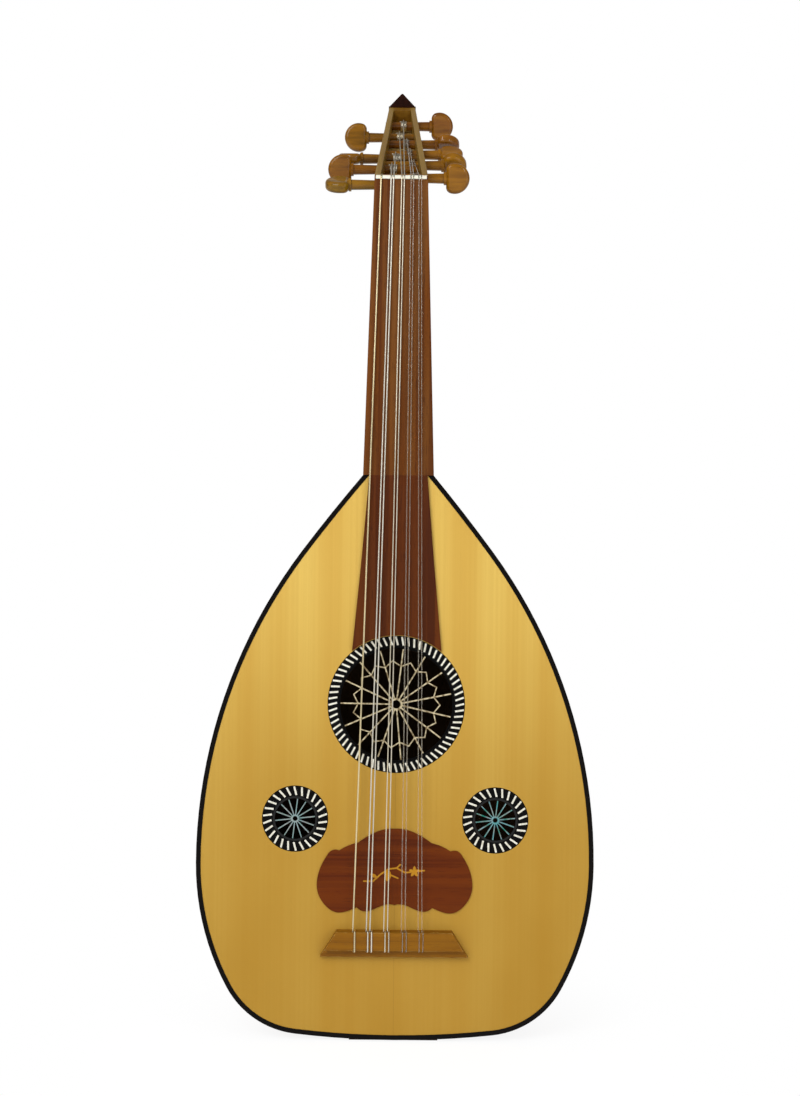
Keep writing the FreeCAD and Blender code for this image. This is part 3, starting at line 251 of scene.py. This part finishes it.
# Pickguard: the same timber cut across the instrument and varnished, so its figure lies level.
guardWood = {**rosewood, "early": "#672A01", "late": "#4E1A00", "band": "#723302", "axis": "X",
             "ringWidth": 3.6, "ringLength": 260, "bandWidth": 9, "bandLength": 150,
             "roughness": 0.34, "shine": 0.12, "coat": 0.0, "coatRoughness": 0.22, "edgeRadius": 0.5}
paint(woodMaterial("Varnished level-grained rosewood", guardWood), "pickguard")

# Inlay in the pickguard: boxwood, sawn and sanded flush. Golden, close and nearly plain.
boxwood = {**spruce, "early": "#C58A1E", "late": "#9C6A12", "band": "#B07818", "pore": "#7E5210", "axis": "X",
           "ringWidth": 1.6, "ringLength": 30, "bandWidth": 8, "bandLength": 40, "poreLength": 5,
           "roughness": 0.4, "edgeRadius": 0.2}
paint(woodMaterial("Sanded boxwood", boxwood), "pickguard_inlay")

# Bridge: walnut, carved and varnished. Mid brown, grain level, its arrises rubbed pale.
bridgeWood = {
    "early": "#8C5A06", "late": "#6E4203", "band": "#96640C", "pore": "#55300A", "worn": "#D8AE62",
    "axis": "X", "ringWidth": 2.4, "ringLength": 120, "bandWidth": 8, "bandLength": 90,
    "poreWidth": 0.8, "poreLength": 9, "ringShare": 0.6, "bandShare": 0.45, "poreShare": 0.4,
    "relief": 0.05, "roughness": 0.36, "shine": 0.14, "coat": 0.05, "coatRoughness": 0.2, "edgeRadius": 0.8,
    "wearShare": 0.8,
}
paint(woodMaterial("Varnished carved walnut", bridgeWood), "bridge")
print("soundboard side painted")

# Neck: walnut veneer, scraped and varnished. Darker and browner than the fingerboard.
neckWood = {**bridgeWood, "early": "#5A3013", "late": "#3A1A08", "band": "#6B3D1A", "pore": "#2A1206",
            "worn": "#7A4C24", "axis": "Z", "ringWidth": 5, "ringLength": 300, "bandWidth": 16,
            "bandLength": 260, "wearShare": 0.3, "edgeRadius": 0.5}
paint(woodMaterial("Varnished walnut veneer", neckWood), "neck")

# Bowl: bent ribs, walnut and mahogany by turns, with a maple line between two black ones let into each joint.
# Varnished outside; inside they are left as planed, and their inner faces are painted dark brown as painted
# shade for the dim inside of the bowl.
ribWoods = {
    "Varnished bent walnut rib": {**neckWood, "early": "#4A2712", "late": "#2C1407", "band": "#5A331A",
                                  "ringWidth": 3.5, "coat": 0.2, "coatRoughness": 0.12},
    "Varnished bent mahogany rib": {**neckWood, "early": "#84502A", "late": "#643617", "band": "#955F34",
                                    "pore": "#43210C", "ringWidth": 3, "coat": 0.2, "coatRoughness": 0.12},
}
ribJoint = {"ribs": 15, "mapleWidth": 0.9, "blackWidth": 0.8, "maple": "#D9BE86", "black": "#0D0906",
            "insideShade": "#3B2A18"}


def ribMaterial(name, wood):
    material, tree, shader, place = startMaterial(name)
    tone, height = woodTones(tree, place, wood)
    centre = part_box("rib_01")[0].y            # the ribs meet the soundboard's back on this level
    parts = addNode(tree, "SeparateXYZ", {}, {"Vector": place}).outputs
    depth = arithmetic(tree, "SUBTRACT", parts["Y"], centre)
    turn = arithmetic(tree, "ARCTAN2", depth, parts["X"])
    step = arithmetic(tree, "MULTIPLY", turn, ribJoint["ribs"] / math.pi)
    nearest = arithmetic(tree, "ROUND", step)
    fromJoint = arithmetic(tree, "ABSOLUTE", arithmetic(tree, "SUBTRACT", step, nearest))
    outward = addNode(tree, "CombineXYZ", {}, {"X": parts["X"], "Y": depth, "Z": 0.0}).outputs["Vector"]
    radius = addNode(tree, "VectorMath", {"operation": "LENGTH"}, {0: outward}).outputs["Value"]
    ribWidth = arithmetic(tree, "MULTIPLY", radius, math.pi / ribJoint["ribs"])
    reach = arithmetic(tree, "MULTIPLY", fromJoint, ribWidth)
    maple = arithmetic(tree, "LESS_THAN", reach, ribJoint["mapleWidth"] / 2000)
    black = arithmetic(tree, "LESS_THAN", reach, (ribJoint["mapleWidth"] / 2 + ribJoint["blackWidth"]) / 1000)
    tone = blendColours(tree, black, tone, linearColour(ribJoint["black"]))
    tone = blendColours(tree, maple, tone, linearColour(ribJoint["maple"]))
    # Faces turned in towards the bowl's middle take a dark tone: painted shade for the dim inside of the
    # bowl.
    facing = addNode(tree, "NewGeometry", {}, {}).outputs["Normal"]
    outside = addNode(tree, "VectorMath", {"operation": "DOT_PRODUCT"}, {0: facing, 1: outward})
    insideShadeMask = arithmetic(tree, "LESS_THAN", outside.outputs["Value"], 0)
    tone = blendColours(tree, insideShadeMask, tone, linearColour(ribJoint["insideShade"]))
    finishWood(tree, shader, place, tone, height, wood)
    return material


ribMaterials = [ribMaterial(name, wood) for name, wood in ribWoods.items()]
for number in range(1, ribJoint["ribs"] + 1):
    paint(ribMaterials[(number + 1) % 2], "rib_%02d" % number)

# End clasp: a walnut cap over the ribs' ends, varnished with them.
claspWood = {**neckWood, "early": "#3C1F0D", "late": "#241006", "band": "#4A2914", "axis": "X"}
paint(woodMaterial("Varnished walnut cap", claspWood), "end_clasp")

# Braces and blocks: spruce and lime, planed and left raw. Pale, dry and matt.
rawSpruce = {**spruce, "early": "#D8BE92", "late": "#B9955F", "band": "#C9AB7A", "axis": "X", "coat": 0.0,
             "roughness": 0.62, "ringLength": 300, "bandLength": 400, "worn": "#E3D0AC"}
paint(woodMaterial("Planed raw spruce", rawSpruce), "soundboard_braces")
rawLime = {**rawSpruce, "early": "#C4A276", "late": "#A8845A", "band": "#B8946A"}
paint(woodMaterial("Planed raw lime", rawLime), "neck_block", "tail_block")
print("bowl and neck painted")

# Pegbox: beech, sawn, scraped and clear varnished. Yellow-brown, its grain running with the leaning cheeks.
pegboxWood = {
    "early": "#866621", "late": "#684812", "band": "#8F712C", "pore": "#523812", "worn": "#A0823E",
    "axis": "Z", "lean": 56, "ringWidth": 3.2, "ringLength": 160, "bandWidth": 9, "bandLength": 150,
    "poreWidth": 0.7, "poreLength": 5, "ringShare": 0.5, "bandShare": 0.5, "poreShare": 0.35,
    "relief": 0.04, "roughness": 0.36, "shine": 0.15, "coat": 0.06, "coatRoughness": 0.18, "edgeRadius": 0.8,
    "wearShare": 0.3,
}
paint(woodMaterial("Varnished scraped beech", pegboxWood), "pegbox_cheek_left", "pegbox_cheek_right")
# The pegbox floor is the same beech painted lighter: painted light against the shade deep in the box.
paintedLightFloorWood = {**pegboxWood, "early": "#CFAC5E", "late": "#AA8840", "band": "#D4B46C"}
paint(woodMaterial("Beech pegbox floor painted lighter", paintedLightFloorWood), "pegbox_back")
endWood = {**pegboxWood, "early": "#7A5414", "late": "#5A390A", "band": "#86601E"}
paint(woodMaterial("Varnished beech end block", endWood), "pegbox_end_block")

# Finial: walnut, carved and polished almost black.
finialWood = {**pegboxWood, "early": "#240C04", "late": "#140602", "band": "#2E1208", "pore": "#160805",
              "worn": "#5C3420", "shine": 0.05, "coat": 0.03, "coatRoughness": 0.1}
paint(woodMaterial("Polished carved walnut", finialWood), "finial")

# Nut: bone, sawn and polished. Off-white, faint lengthwise streaks, a dense low shine.
bone = {
    "pale": "#EEECDC", "streak": "#E0DAC4", "pore": "#CCC0A0", "streakShare": 0.5, "poreShare": 0.5,
    "streakWidth": 0.9, "streakLength": 9, "poreWidth": 0.35, "poreLength": 1.2, "relief": 0.03,
    "edgeRadius": 0.4, "roughness": 0.3, "ior": 1.54, "depthShare": 0.08, "depth": 2,
}


def boneMaterial(name, kind):
    material, tree, shader, place = startMaterial(name)
    streaks = speckle(tree, place, kind["streakWidth"], kind["streakLength"], "X", 0.4, 0.7)
    pores = speckle(tree, place, kind["poreWidth"], kind["poreLength"], "X", 0.62, 0.74)
    streakShare = arithmetic(tree, "MULTIPLY", streaks, kind["streakShare"])
    tone = blendColours(tree, streakShare, linearColour(kind["pale"]), linearColour(kind["streak"]))
    poreShare = arithmetic(tree, "MULTIPLY", pores, kind["poreShare"])
    tone = blendColours(tree, poreShare, tone, linearColour(kind["pore"]))
    edgeNormal = roundedEdge(tree, kind["edgeRadius"])[0]
    relief = addNode(tree, "Bump", {}, {"Height": pores, "Strength": 0.2,
                                        "Distance": kind["relief"] / 1000, "Normal": edgeNormal})
    tree.links.new(tone, shader.inputs["Base Color"])
    tree.links.new(relief.outputs["Normal"], shader.inputs["Normal"])
    shader.inputs["Roughness"].default_value = kind["roughness"]
    shader.inputs["IOR"].default_value = kind["ior"]
    shader.inputs["Subsurface Weight"].default_value = kind["depthShare"]
    shader.inputs["Subsurface Scale"].default_value = kind["depth"] / 1000
    return material


paint(boneMaterial("Polished bone", bone), "nut")

# Rosette rings: black celluloid, turned and buffed. Deep black with hairline swirls; bone-white slips let in.
celluloid = {
    "black": "#060606", "cloud": "#111012", "cloudShare": 0.4, "white": "#EDEBDD", "whiteCloud": "#C9C3AC",
    "whiteCloudShare": 0.6, "cloudWidth": 3, "hairWidth": 0.4, "hairLength": 14, "hairDepth": 0.02,
    "edgeRadius": 0.15, "roughness": 0.3, "roughening": 0.1, "ior": 1.5, "shine": 0.06,
    "stainedRim": 2.1,                        # how much of a lattice's outer ring is stained black
}


def buffedMaterial(name, main, cloudTone, cloudShare, roughness):
    material, tree, shader, place = startMaterial(name)
    cloud = speckle(tree, place, celluloid["cloudWidth"], celluloid["cloudWidth"], "X", 0.4, 0.65)
    hairlines = speckle(tree, place, celluloid["hairWidth"], celluloid["hairLength"], "X", 0.45, 0.6)
    tone = blendColours(tree, arithmetic(tree, "MULTIPLY", cloud, cloudShare), linearColour(main),
                        linearColour(cloudTone))
    edgeNormal = roundedEdge(tree, celluloid["edgeRadius"])[0]
    relief = addNode(tree, "Bump", {}, {"Height": hairlines, "Strength": 0.15,
                                        "Distance": celluloid["hairDepth"] / 1000, "Normal": edgeNormal})
    gloss = addNode(tree, "MapRange", {}, {"Value": cloud, "To Min": roughness,
                                           "To Max": roughness + celluloid["roughening"]})
    tree.links.new(tone, shader.inputs["Base Color"])
    tree.links.new(relief.outputs["Normal"], shader.inputs["Normal"])
    tree.links.new(gloss.outputs["Result"], shader.inputs["Roughness"])
    shader.inputs["IOR"].default_value = celluloid["ior"]
    shader.inputs["Specular IOR Level"].default_value = celluloid["shine"]
    return material


def stainRim(material, node):
    # The outer ring of the fretwork is stained black, up to a little inside its edge.
    tree = material.node_tree
    low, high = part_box(node)
    middle = (low + high) / 2
    outer = (high.x - low.x) / 2 - celluloid["stainedRim"] / 1000
    place = addNode(tree, "TexCoord", {}, {}).outputs["Object"]
    offset = addNode(tree, "VectorMath", {"operation": "SUBTRACT"}, {0: place, 1: middle}).outputs["Vector"]
    flat = addNode(tree, "VectorMath", {"operation": "MULTIPLY"}, {0: offset, 1: (1, 0, 1)}).outputs["Vector"]
    reach = addNode(tree, "VectorMath", {"operation": "LENGTH"}, {0: flat}).outputs["Value"]
    stained = arithmetic(tree, "GREATER_THAN", reach, outer)
    shader = next(item for item in tree.nodes if item.type == "BSDF_PRINCIPLED")
    bare = shader.inputs["Base Color"].links[0].from_socket
    tone = blendColours(tree, stained, bare, linearColour(celluloid["black"]))
    tree.links.new(tone, shader.inputs["Base Color"])


blackRing = buffedMaterial("Buffed black celluloid", celluloid["black"], celluloid["cloud"],
                           celluloid["cloudShare"], celluloid["roughness"])
paint(blackRing, "rosette_ring_large", "rosette_ring_small_left", "rosette_ring_small_right")
whiteSlip = buffedMaterial("Buffed white celluloid", celluloid["white"], celluloid["whiteCloud"],
                           celluloid["whiteCloudShare"], celluloid["roughness"])
paint(whiteSlip, "rosette_dashes_large", "rosette_dashes_small")

# Rosette fretwork: ivory-coloured bone in the large one, mother-of-pearl in the small ones, sawn and filed.
# Bone yellows along a bar; pearl turns from cream to sea green within a few millimetres.
fretwork = {"bone": "#D9CBA6", "yellowed": "#7A6544", "yellowedShare": 0.9, "roughness": 0.38}
fretBone = buffedMaterial("Sawn yellowed bone", fretwork["bone"], fretwork["yellowed"],
                          fretwork["yellowedShare"], fretwork["roughness"])
stainRim(fretBone, "rosette_large")
paint(fretBone, "rosette_large")
pearl = {
    "cream": "#9DA4A2", "green": "#12806E", "blue": "#5FA0A8", "rose": "#7C7478", "roseShare": 0.5,
    "blueShare": 0.7, "relief": 0.04, "edgeRadius": 0.15, "roughness": 0.26, "ior": 1.56, "shine": 0.2,
    "coat": 0.12, "coatRoughness": 0.08, "greenShare": {"left": 0.4, "right": 1.0},
}


def pearlMaterial(name, kind, greenShare):
    material, tree, shader, place = startMaterial(name)
    layers = speckle(tree, place, 5, 9, "Z", 0.35, 0.65)
    bands = speckle(tree, place, 7, 12, "X", 0.4, 0.6)
    blushes = speckle(tree, place, 4, 4, "Y", 0.45, 0.7)
    tone = blendColours(tree, arithmetic(tree, "MULTIPLY", layers, greenShare), linearColour(kind["cream"]),
                        linearColour(kind["green"]))
    tone = blendColours(tree, arithmetic(tree, "MULTIPLY", bands, greenShare * kind["blueShare"]), tone,
                        linearColour(kind["blue"]))
    tone = blendColours(tree, arithmetic(tree, "MULTIPLY", blushes, kind["roseShare"]), tone,
                        linearColour(kind["rose"]))
    edgeNormal = roundedEdge(tree, kind["edgeRadius"])[0]
    relief = addNode(tree, "Bump", {}, {"Height": layers, "Strength": 0.2,
                                        "Distance": kind["relief"] / 1000, "Normal": edgeNormal})
    tree.links.new(tone, shader.inputs["Base Color"])
    tree.links.new(relief.outputs["Normal"], shader.inputs["Normal"])
    shader.inputs["Roughness"].default_value = kind["roughness"]
    shader.inputs["IOR"].default_value = kind["ior"]
    shader.inputs["Specular IOR Level"].default_value = kind["shine"]
    shader.inputs["Coat Weight"].default_value = kind["coat"]
    shader.inputs["Coat Roughness"].default_value = kind["coatRoughness"]
    return material


for side, greenShare in pearl["greenShare"].items():
    shell = pearlMaterial("Filed mother-of-pearl, %s" % side, pearl, greenShare)
    stainRim(shell, "rosette_small_" + side)
    paint(shell, "rosette_small_" + side)
print("pegbox, nut and rosettes painted")

# Pegs: maple, turned, carved and amber varnished. Honey-coloured with long soft streaks under a wet gloss.
pegTones = {
    1: ("#805E0C", "#5E4206"), 2: ("#905E04", "#6C4202"), 3: ("#7C4C06", "#583202"),
    4: ("#926204", "#6E4402"), 5: ("#7A5006", "#563602"), 6: ("#8C5A06", "#663E02"),
    7: ("#7C4806", "#563002"), 8: ("#7A5008", "#583A03"), 9: ("#7C4A08", "#582F02"),
}
pegWood = {
    "band": "#9A6610", "pore": "#4A2A04", "worn": "#B8862E", "axis": "X",
    "ringWidth": 4, "ringLength": 40, "bandWidth": 7, "bandLength": 30, "poreWidth": 0.6, "poreLength": 6,
    "ringShare": 0.75, "bandShare": 0.45, "poreShare": 0.3, "relief": 0.04,
    "roughness": 0.34, "shine": 0.12, "coat": 0.35, "coatRoughness": 0.04, "edgeRadius": 0.5,
    "wearShare": 0.2,
}
for number, (early, late) in pegTones.items():
    amber = woodMaterial("Amber varnished maple %d" % number, {**pegWood, "early": early, "late": late})
    paint(amber, "peg_%02d" % number)

# Strings: the five bass ones are silk wound with silvered copper, close spiral ribs that glint; the four
# treble ones are extruded nylon, clear and faintly cream.
strings = {
    1: {"peg": 1, "tone": "#F6E6B8"}, 2: {"peg": 3, "tone": "#F0EBDC"}, 3: {"peg": 5, "tone": "#F2EDDE"},
    4: {"peg": 8, "tone": "#F4EAD0"}, 5: {"peg": 9, "tone": "#F0E8D4"},
    6: {"peg": 7}, 7: {"peg": 6}, 8: {"peg": 4}, 9: {"peg": 2},
}
spiral = {
    "pitch": 0.8,                             # the real pitch is 0.2 mm, too fine to show
    "depth": 0.05, "roughness": 0.42, "grooveShade": "#857C68", "grooveShare": 0.3,
    "tarnishWidth": 2, "tarnishLength": 60,
}
nylon = {
    "tone": "#F3EBDB", "haze": "#D8CDB4", "hazeShare": 0.4, "hazeWidth": 0.5, "hazeLength": 30,
    "roughness": 0.12, "roughening": 0.15, "ior": 1.53, "clearness": 0.9,
}
waveRate = 2 * math.pi / 20                   # a wave pattern repeats every 2 pi / 20 of its scaled length


def woundMaterial(number, tone):
    material, tree, shader, place = startMaterial("Silvered copper winding %d" % number)
    waves = addNode(tree, "TexWave", {"bands_direction": "DIAGONAL"},
                    {"Vector": place, "Scale": waveRate / (spiral["pitch"] / 1000), "Distortion": 0.0})
    tarnish = speckle(tree, place, spiral["tarnishWidth"], spiral["tarnishLength"], "Z", 0.4, 0.7)
    # The grooves between the turns are painted darker, as painted shade; tarnish darkens the winding further
    # in long streaks.
    grooveShade = arithmetic(tree, "SUBTRACT", 1.0, waves.outputs["Fac"])
    dulled = arithmetic(tree, "ADD", grooveShade, tarnish)
    share = arithmetic(tree, "MULTIPLY", dulled, spiral["grooveShare"])
    colour = blendColours(tree, share, linearColour(tone), linearColour(spiral["grooveShade"]))
    relief = addNode(tree, "Bump", {}, {"Height": waves.outputs["Fac"], "Strength": 0.5,
                                        "Distance": spiral["depth"] / 1000})
    tree.links.new(colour, shader.inputs["Base Color"])
    tree.links.new(relief.outputs["Normal"], shader.inputs["Normal"])
    shader.inputs["Metallic"].default_value = 1.0
    shader.inputs["Roughness"].default_value = spiral["roughness"]
    return material


def nylonMaterial(kind):
    material, tree, shader, place = startMaterial("Extruded clear nylon")
    haze = speckle(tree, place, kind["hazeWidth"], kind["hazeLength"], "Z", 0.4, 0.7)
    tone = blendColours(tree, arithmetic(tree, "MULTIPLY", haze, kind["hazeShare"]),
                        linearColour(kind["tone"]), linearColour(kind["haze"]))
    gloss = addNode(tree, "MapRange", {}, {"Value": haze, "To Min": kind["roughness"],
                                           "To Max": kind["roughness"] + kind["roughening"]})
    tree.links.new(tone, shader.inputs["Base Color"])
    tree.links.new(gloss.outputs["Result"], shader.inputs["Roughness"])
    shader.inputs["IOR"].default_value = kind["ior"]
    shader.inputs["Transmission Weight"].default_value = kind["clearness"]
    return material


clearNylon = nylonMaterial(nylon)
stringMaterials = {}
for number, facts in strings.items():
    finish = woundMaterial(number, facts["tone"]) if "tone" in facts else clearNylon
    stringMaterials[number] = finish
    paint(finish, "string_%02d" % number)
print("pegs and strings painted")

# Turns of string on the peg shafts. A layer of turns goes round with its peg, and its end runs into the
# shaft; the string itself arrives on top of them and passes once more round the back. Each layer sits a
# little towards the pegbox's middle, so that the outer ones stay clear of the cheeks.
turning = {
    "turns": 5, "pointsPerTurn": 20, "taper": 0.02, "shaftClear": 0.00002, "inwards": 0.12,
    "spacing": 1.04, "tailAcross": 0.6,       # both in string thicknesses
    "tailDepth": 0.4,                         # the tail's end, as a share of the layer's radius
    "lastTurn": 1.7,                          # in half turns
}


def makeTube(name, points, thickness, material):
    curve = bpy.data.curves.new(name, "CURVE")
    curve.dimensions = "3D"
    curve.bevel_depth = thickness / 2
    curve.bevel_resolution = 3
    curve.use_fill_caps = True
    line = curve.splines.new("POLY")
    line.points.add(len(points) - 1)
    for point, spot in zip(line.points, points):
        point.co = (*spot, 1)
    curve.materials.append(material)
    tube = bpy.data.objects.new(name, curve)
    scene.collection.objects.link(tube)
    return tube


def stringEnd(node):
    # The middle of the string's last ring of corners, where it reaches its peg, and its thickness.
    spots = [vertex.co for vertex in nodes[node].data.vertices]
    top = max(spots, key=lambda spot: spot.z)
    ring = [spot for spot in spots if (spot - top).length < 0.002]
    middle = sum(ring, Vector()) / len(ring)
    return middle, 2 * max((spot - middle).length for spot in ring)


def windString(number, facts):
    peg = "peg_%02d" % facts["peg"]
    joint = next(joint for joint in frame["joints"] if joint["child"] == peg + "_body")
    axis = Vector(joint["pos_m"])
    middle, thickness = stringEnd("string_%02d" % number)
    reach = Vector((0, middle.y - axis.y, middle.z - axis.z))
    start = math.atan2(reach.z, reach.y)
    headSide = 1 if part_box(peg)[1].x > -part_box(peg)[0].x else -1
    corners = [vertex.co for vertex in nodes[peg].data.vertices]
    tipAcross = min(corner.x * headSide for corner in corners)
    tip = [corner for corner in corners if corner.x * headSide < tipAcross + 0.0002]
    tipRadius = max(math.hypot(corner.y - axis.y, corner.z - axis.z) for corner in tip)
    sense = 1 if math.cos(start) > 0 else -1           # the string comes up from the nut, then goes round
    count = turning["turns"] * turning["pointsPerTurn"]
    layerMiddle = middle.x * (1 - turning["inwards"])
    layer = []
    for step in range(count + 1):
        along = step / count
        turn = start + sense * along * turning["turns"] * 2 * math.pi
        across = layerMiddle + (along - 0.5) * turning["turns"] * thickness * turning["spacing"]
        radius = tipRadius + turning["taper"] * (across * headSide - tipAcross)
        radius += thickness / 2 + turning["shaftClear"]
        layer.append((across, axis.y + radius * math.cos(turn), axis.z + radius * math.sin(turn)))
    endAcross, endDeep, endUp = layer[-1]
    depth = turning["tailDepth"]
    layer.append((endAcross + thickness * turning["tailAcross"], axis.y + depth * (endDeep - axis.y),
                  axis.z + depth * (endUp - axis.z)))
    turns = makeTube("string_turns_%02d" % number, layer, thickness, stringMaterials[number])
    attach(turns, peg + "_body")
    wrap = []
    for step in range(turning["pointsPerTurn"]):
        turn = start + sense * step / turning["pointsPerTurn"] * turning["lastTurn"] * math.pi
        across = middle.x + step / turning["pointsPerTurn"] * thickness
        wrap.append((across, axis.y + reach.length * math.cos(turn), axis.z + reach.length * math.sin(turn)))
    last = makeTube("string_last_turn_%02d" % number, wrap, thickness, stringMaterials[number])
    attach(last, "instrument")


for number, facts in strings.items():
    windString(number, facts)
print("strings wound on their pegs")

# Studio: a white floor and an open white surround, one broad soft lamp high on the left and one low on the
# right, with a narrow one on each side that puts long highlights on the pegs.
studio = {
    "floorReach": 6, "floorGap": 0.0003, "floorWhite": "#EDEDED", "floorSeen": "#707070", "floorLift": 0.88,
    "shadowReach": 0.08, "cleanFrom": 0.28, "surround": 0.5, "dimSide": 0.18,
    "dimUntil": 0.5, "whiteFrom": 0.95,       # how straight backwards a reflection has to look
}
lamps = {
    "keyLamp": {"place": (-1.0, -1.5, 0.75), "aim": (0, 0, -0.3), "size": (1.3, 1.3), "power": 24},
    "fillLamp": {"place": (1.3, -1.5, -0.15), "aim": (0, 0, -0.4), "size": (1.2, 1.6), "power": 7.8},
    "sideLampLeft": {"place": (-0.55, -0.9, 0.75), "aim": (0, 0.05, 0.06), "size": (0.03, 0.6),
                     "power": 1.0},
    "sideLampRight": {"place": (0.6, -0.8, 0.45), "aim": (0, 0.05, 0.06), "size": (0.03, 0.5),
                      "power": 0.8},
}


def seenDirectly(tree):
    # 1 where the view itself, a reflection or a clear string looks straight at the surface
    seen = addNode(tree, "LightPath", {}, {}).outputs
    mirrored = arithmetic(tree, "MAXIMUM", seen["Is Glossy Ray"], seen["Is Transmission Ray"])
    return arithmetic(tree, "MAXIMUM", seen["Is Camera Ray"], mirrored)


def makeFloor():
    # Plain white paper. Close to the instrument it keeps the soft shadow, and further out it is clean white.
    mesh = bpy.data.meshes.new("studio_floor")
    reach = studio["floorReach"]
    height = cadBox[0].z - studio["floorGap"]
    corners = [(across, deep, height) for across, deep in
               ((-reach, -reach), (reach, -reach), (reach, reach), (-reach, reach))]
    mesh.from_pydata(corners, [], [(0, 1, 2, 3)])
    floor = bpy.data.objects.new("studio_floor", mesh)
    scene.collection.objects.link(floor)
    material = bpy.data.materials.new("White studio floor")
    material.use_nodes = True
    tree = material.node_tree
    tree.nodes.clear()
    direct = seenDirectly(tree)
    tone = blendColours(tree, direct, linearColour(studio["floorWhite"]), linearColour(studio["floorSeen"]))
    paper = addNode(tree, "BsdfDiffuse", {}, {"Color": tone})
    lifted = arithmetic(tree, "MULTIPLY", direct, studio["floorLift"])
    lift = addNode(tree, "Emission", {}, {"Strength": lifted})
    near = addNode(tree, "AddShader", {}, {0: paper.outputs[0], 1: lift.outputs[0]})
    place = addNode(tree, "TexCoord", {}, {}).outputs["Object"]
    levelPlace = addNode(tree, "VectorMath", {"operation": "MULTIPLY"}, {0: place, 1: (1, 1, 0)})
    away = addNode(tree, "VectorMath", {"operation": "LENGTH"}, {0: levelPlace.outputs["Vector"]})
    far = addNode(tree, "MapRange", {"interpolation_type": "SMOOTHSTEP"},
                  {"Value": away.outputs["Value"], "From Min": studio["shadowReach"],
                   "From Max": studio["cleanFrom"]})
    share = arithmetic(tree, "MULTIPLY", direct, far.outputs["Result"])
    clean = addNode(tree, "Emission", {}, {"Strength": 1.0})
    mixed = addNode(tree, "MixShader", {}, {0: share, 1: near.outputs[0], 2: clean.outputs[0]})
    addNode(tree, "OutputMaterial", {}, {"Surface": mixed.outputs[0]})
    mesh.materials.append(material)


def makeSurround():
    # White behind the instrument. In front of it a reflection finds the dim side of the room.
    world = bpy.data.worlds.new("White surround")
    scene.world = world
    world.use_nodes = True
    tree = world.node_tree
    tree.nodes.clear()
    seen = addNode(tree, "LightPath", {}, {}).outputs
    heading = addNode(tree, "TexCoord", {}, {}).outputs["Generated"]
    backwards = addNode(tree, "SeparateXYZ", {}, {"Vector": heading}).outputs["Y"]
    room = addNode(tree, "MapRange", {"interpolation_type": "SMOOTHSTEP"},
                   {"Value": backwards, "From Min": studio["dimUntil"], "From Max": studio["whiteFrom"],
                    "To Min": studio["dimSide"], "To Max": 1.0}).outputs["Result"]
    mirrored = arithmetic(tree, "MAXIMUM", seen["Is Glossy Ray"], seen["Is Transmission Ray"])
    ambient = addNode(tree, "Mix", {"data_type": "FLOAT"}, {0: mirrored, 2: studio["surround"], 3: room})
    strength = addNode(tree, "Mix", {"data_type": "FLOAT"},
                       {0: seen["Is Camera Ray"], 2: ambient.outputs[0], 3: 1.0})
    light = addNode(tree, "Background", {}, {"Color": (1, 1, 1, 1), "Strength": strength.outputs[0]})
    addNode(tree, "OutputWorld", {}, {"Surface": light.outputs[0]})


def makeLamp(name, facts):
    light = bpy.data.lights.new(name, "AREA")
    light.shape = "RECTANGLE"
    light.size, light.size_y = facts["size"]
    light.energy = facts["power"]
    lamp = bpy.data.objects.new(name, light)
    scene.collection.objects.link(lamp)
    lamp.location = facts["place"]
    away = Vector(facts["place"]) - Vector(facts["aim"])
    lamp.rotation_euler = away.to_track_quat("Z", "Y").to_euler()


makeFloor()
makeSurround()
for name, facts in lamps.items():
    makeLamp(name, facts)
print("studio lit")

# Camera: level, square on to the soundboard, at the height of the upper soundboard.
shot = {"distance": 1.10, "height": -0.299, "across": 0.0018, "lens": 44.5, "roll": -0.55}
lens = bpy.data.cameras.new("camera")
lens.lens = shot["lens"]
lens.sensor_width = 36
lens.clip_start = 0.01
camera = bpy.data.objects.new("camera", lens)
scene.collection.objects.link(camera)
camera.location = (shot["across"], -shot["distance"], shot["height"])
camera.rotation_euler = (math.radians(90), math.radians(shot["roll"]), 0)
scene.camera = camera
scene.view_settings.view_transform = "Standard"

print("camera set, model measured")
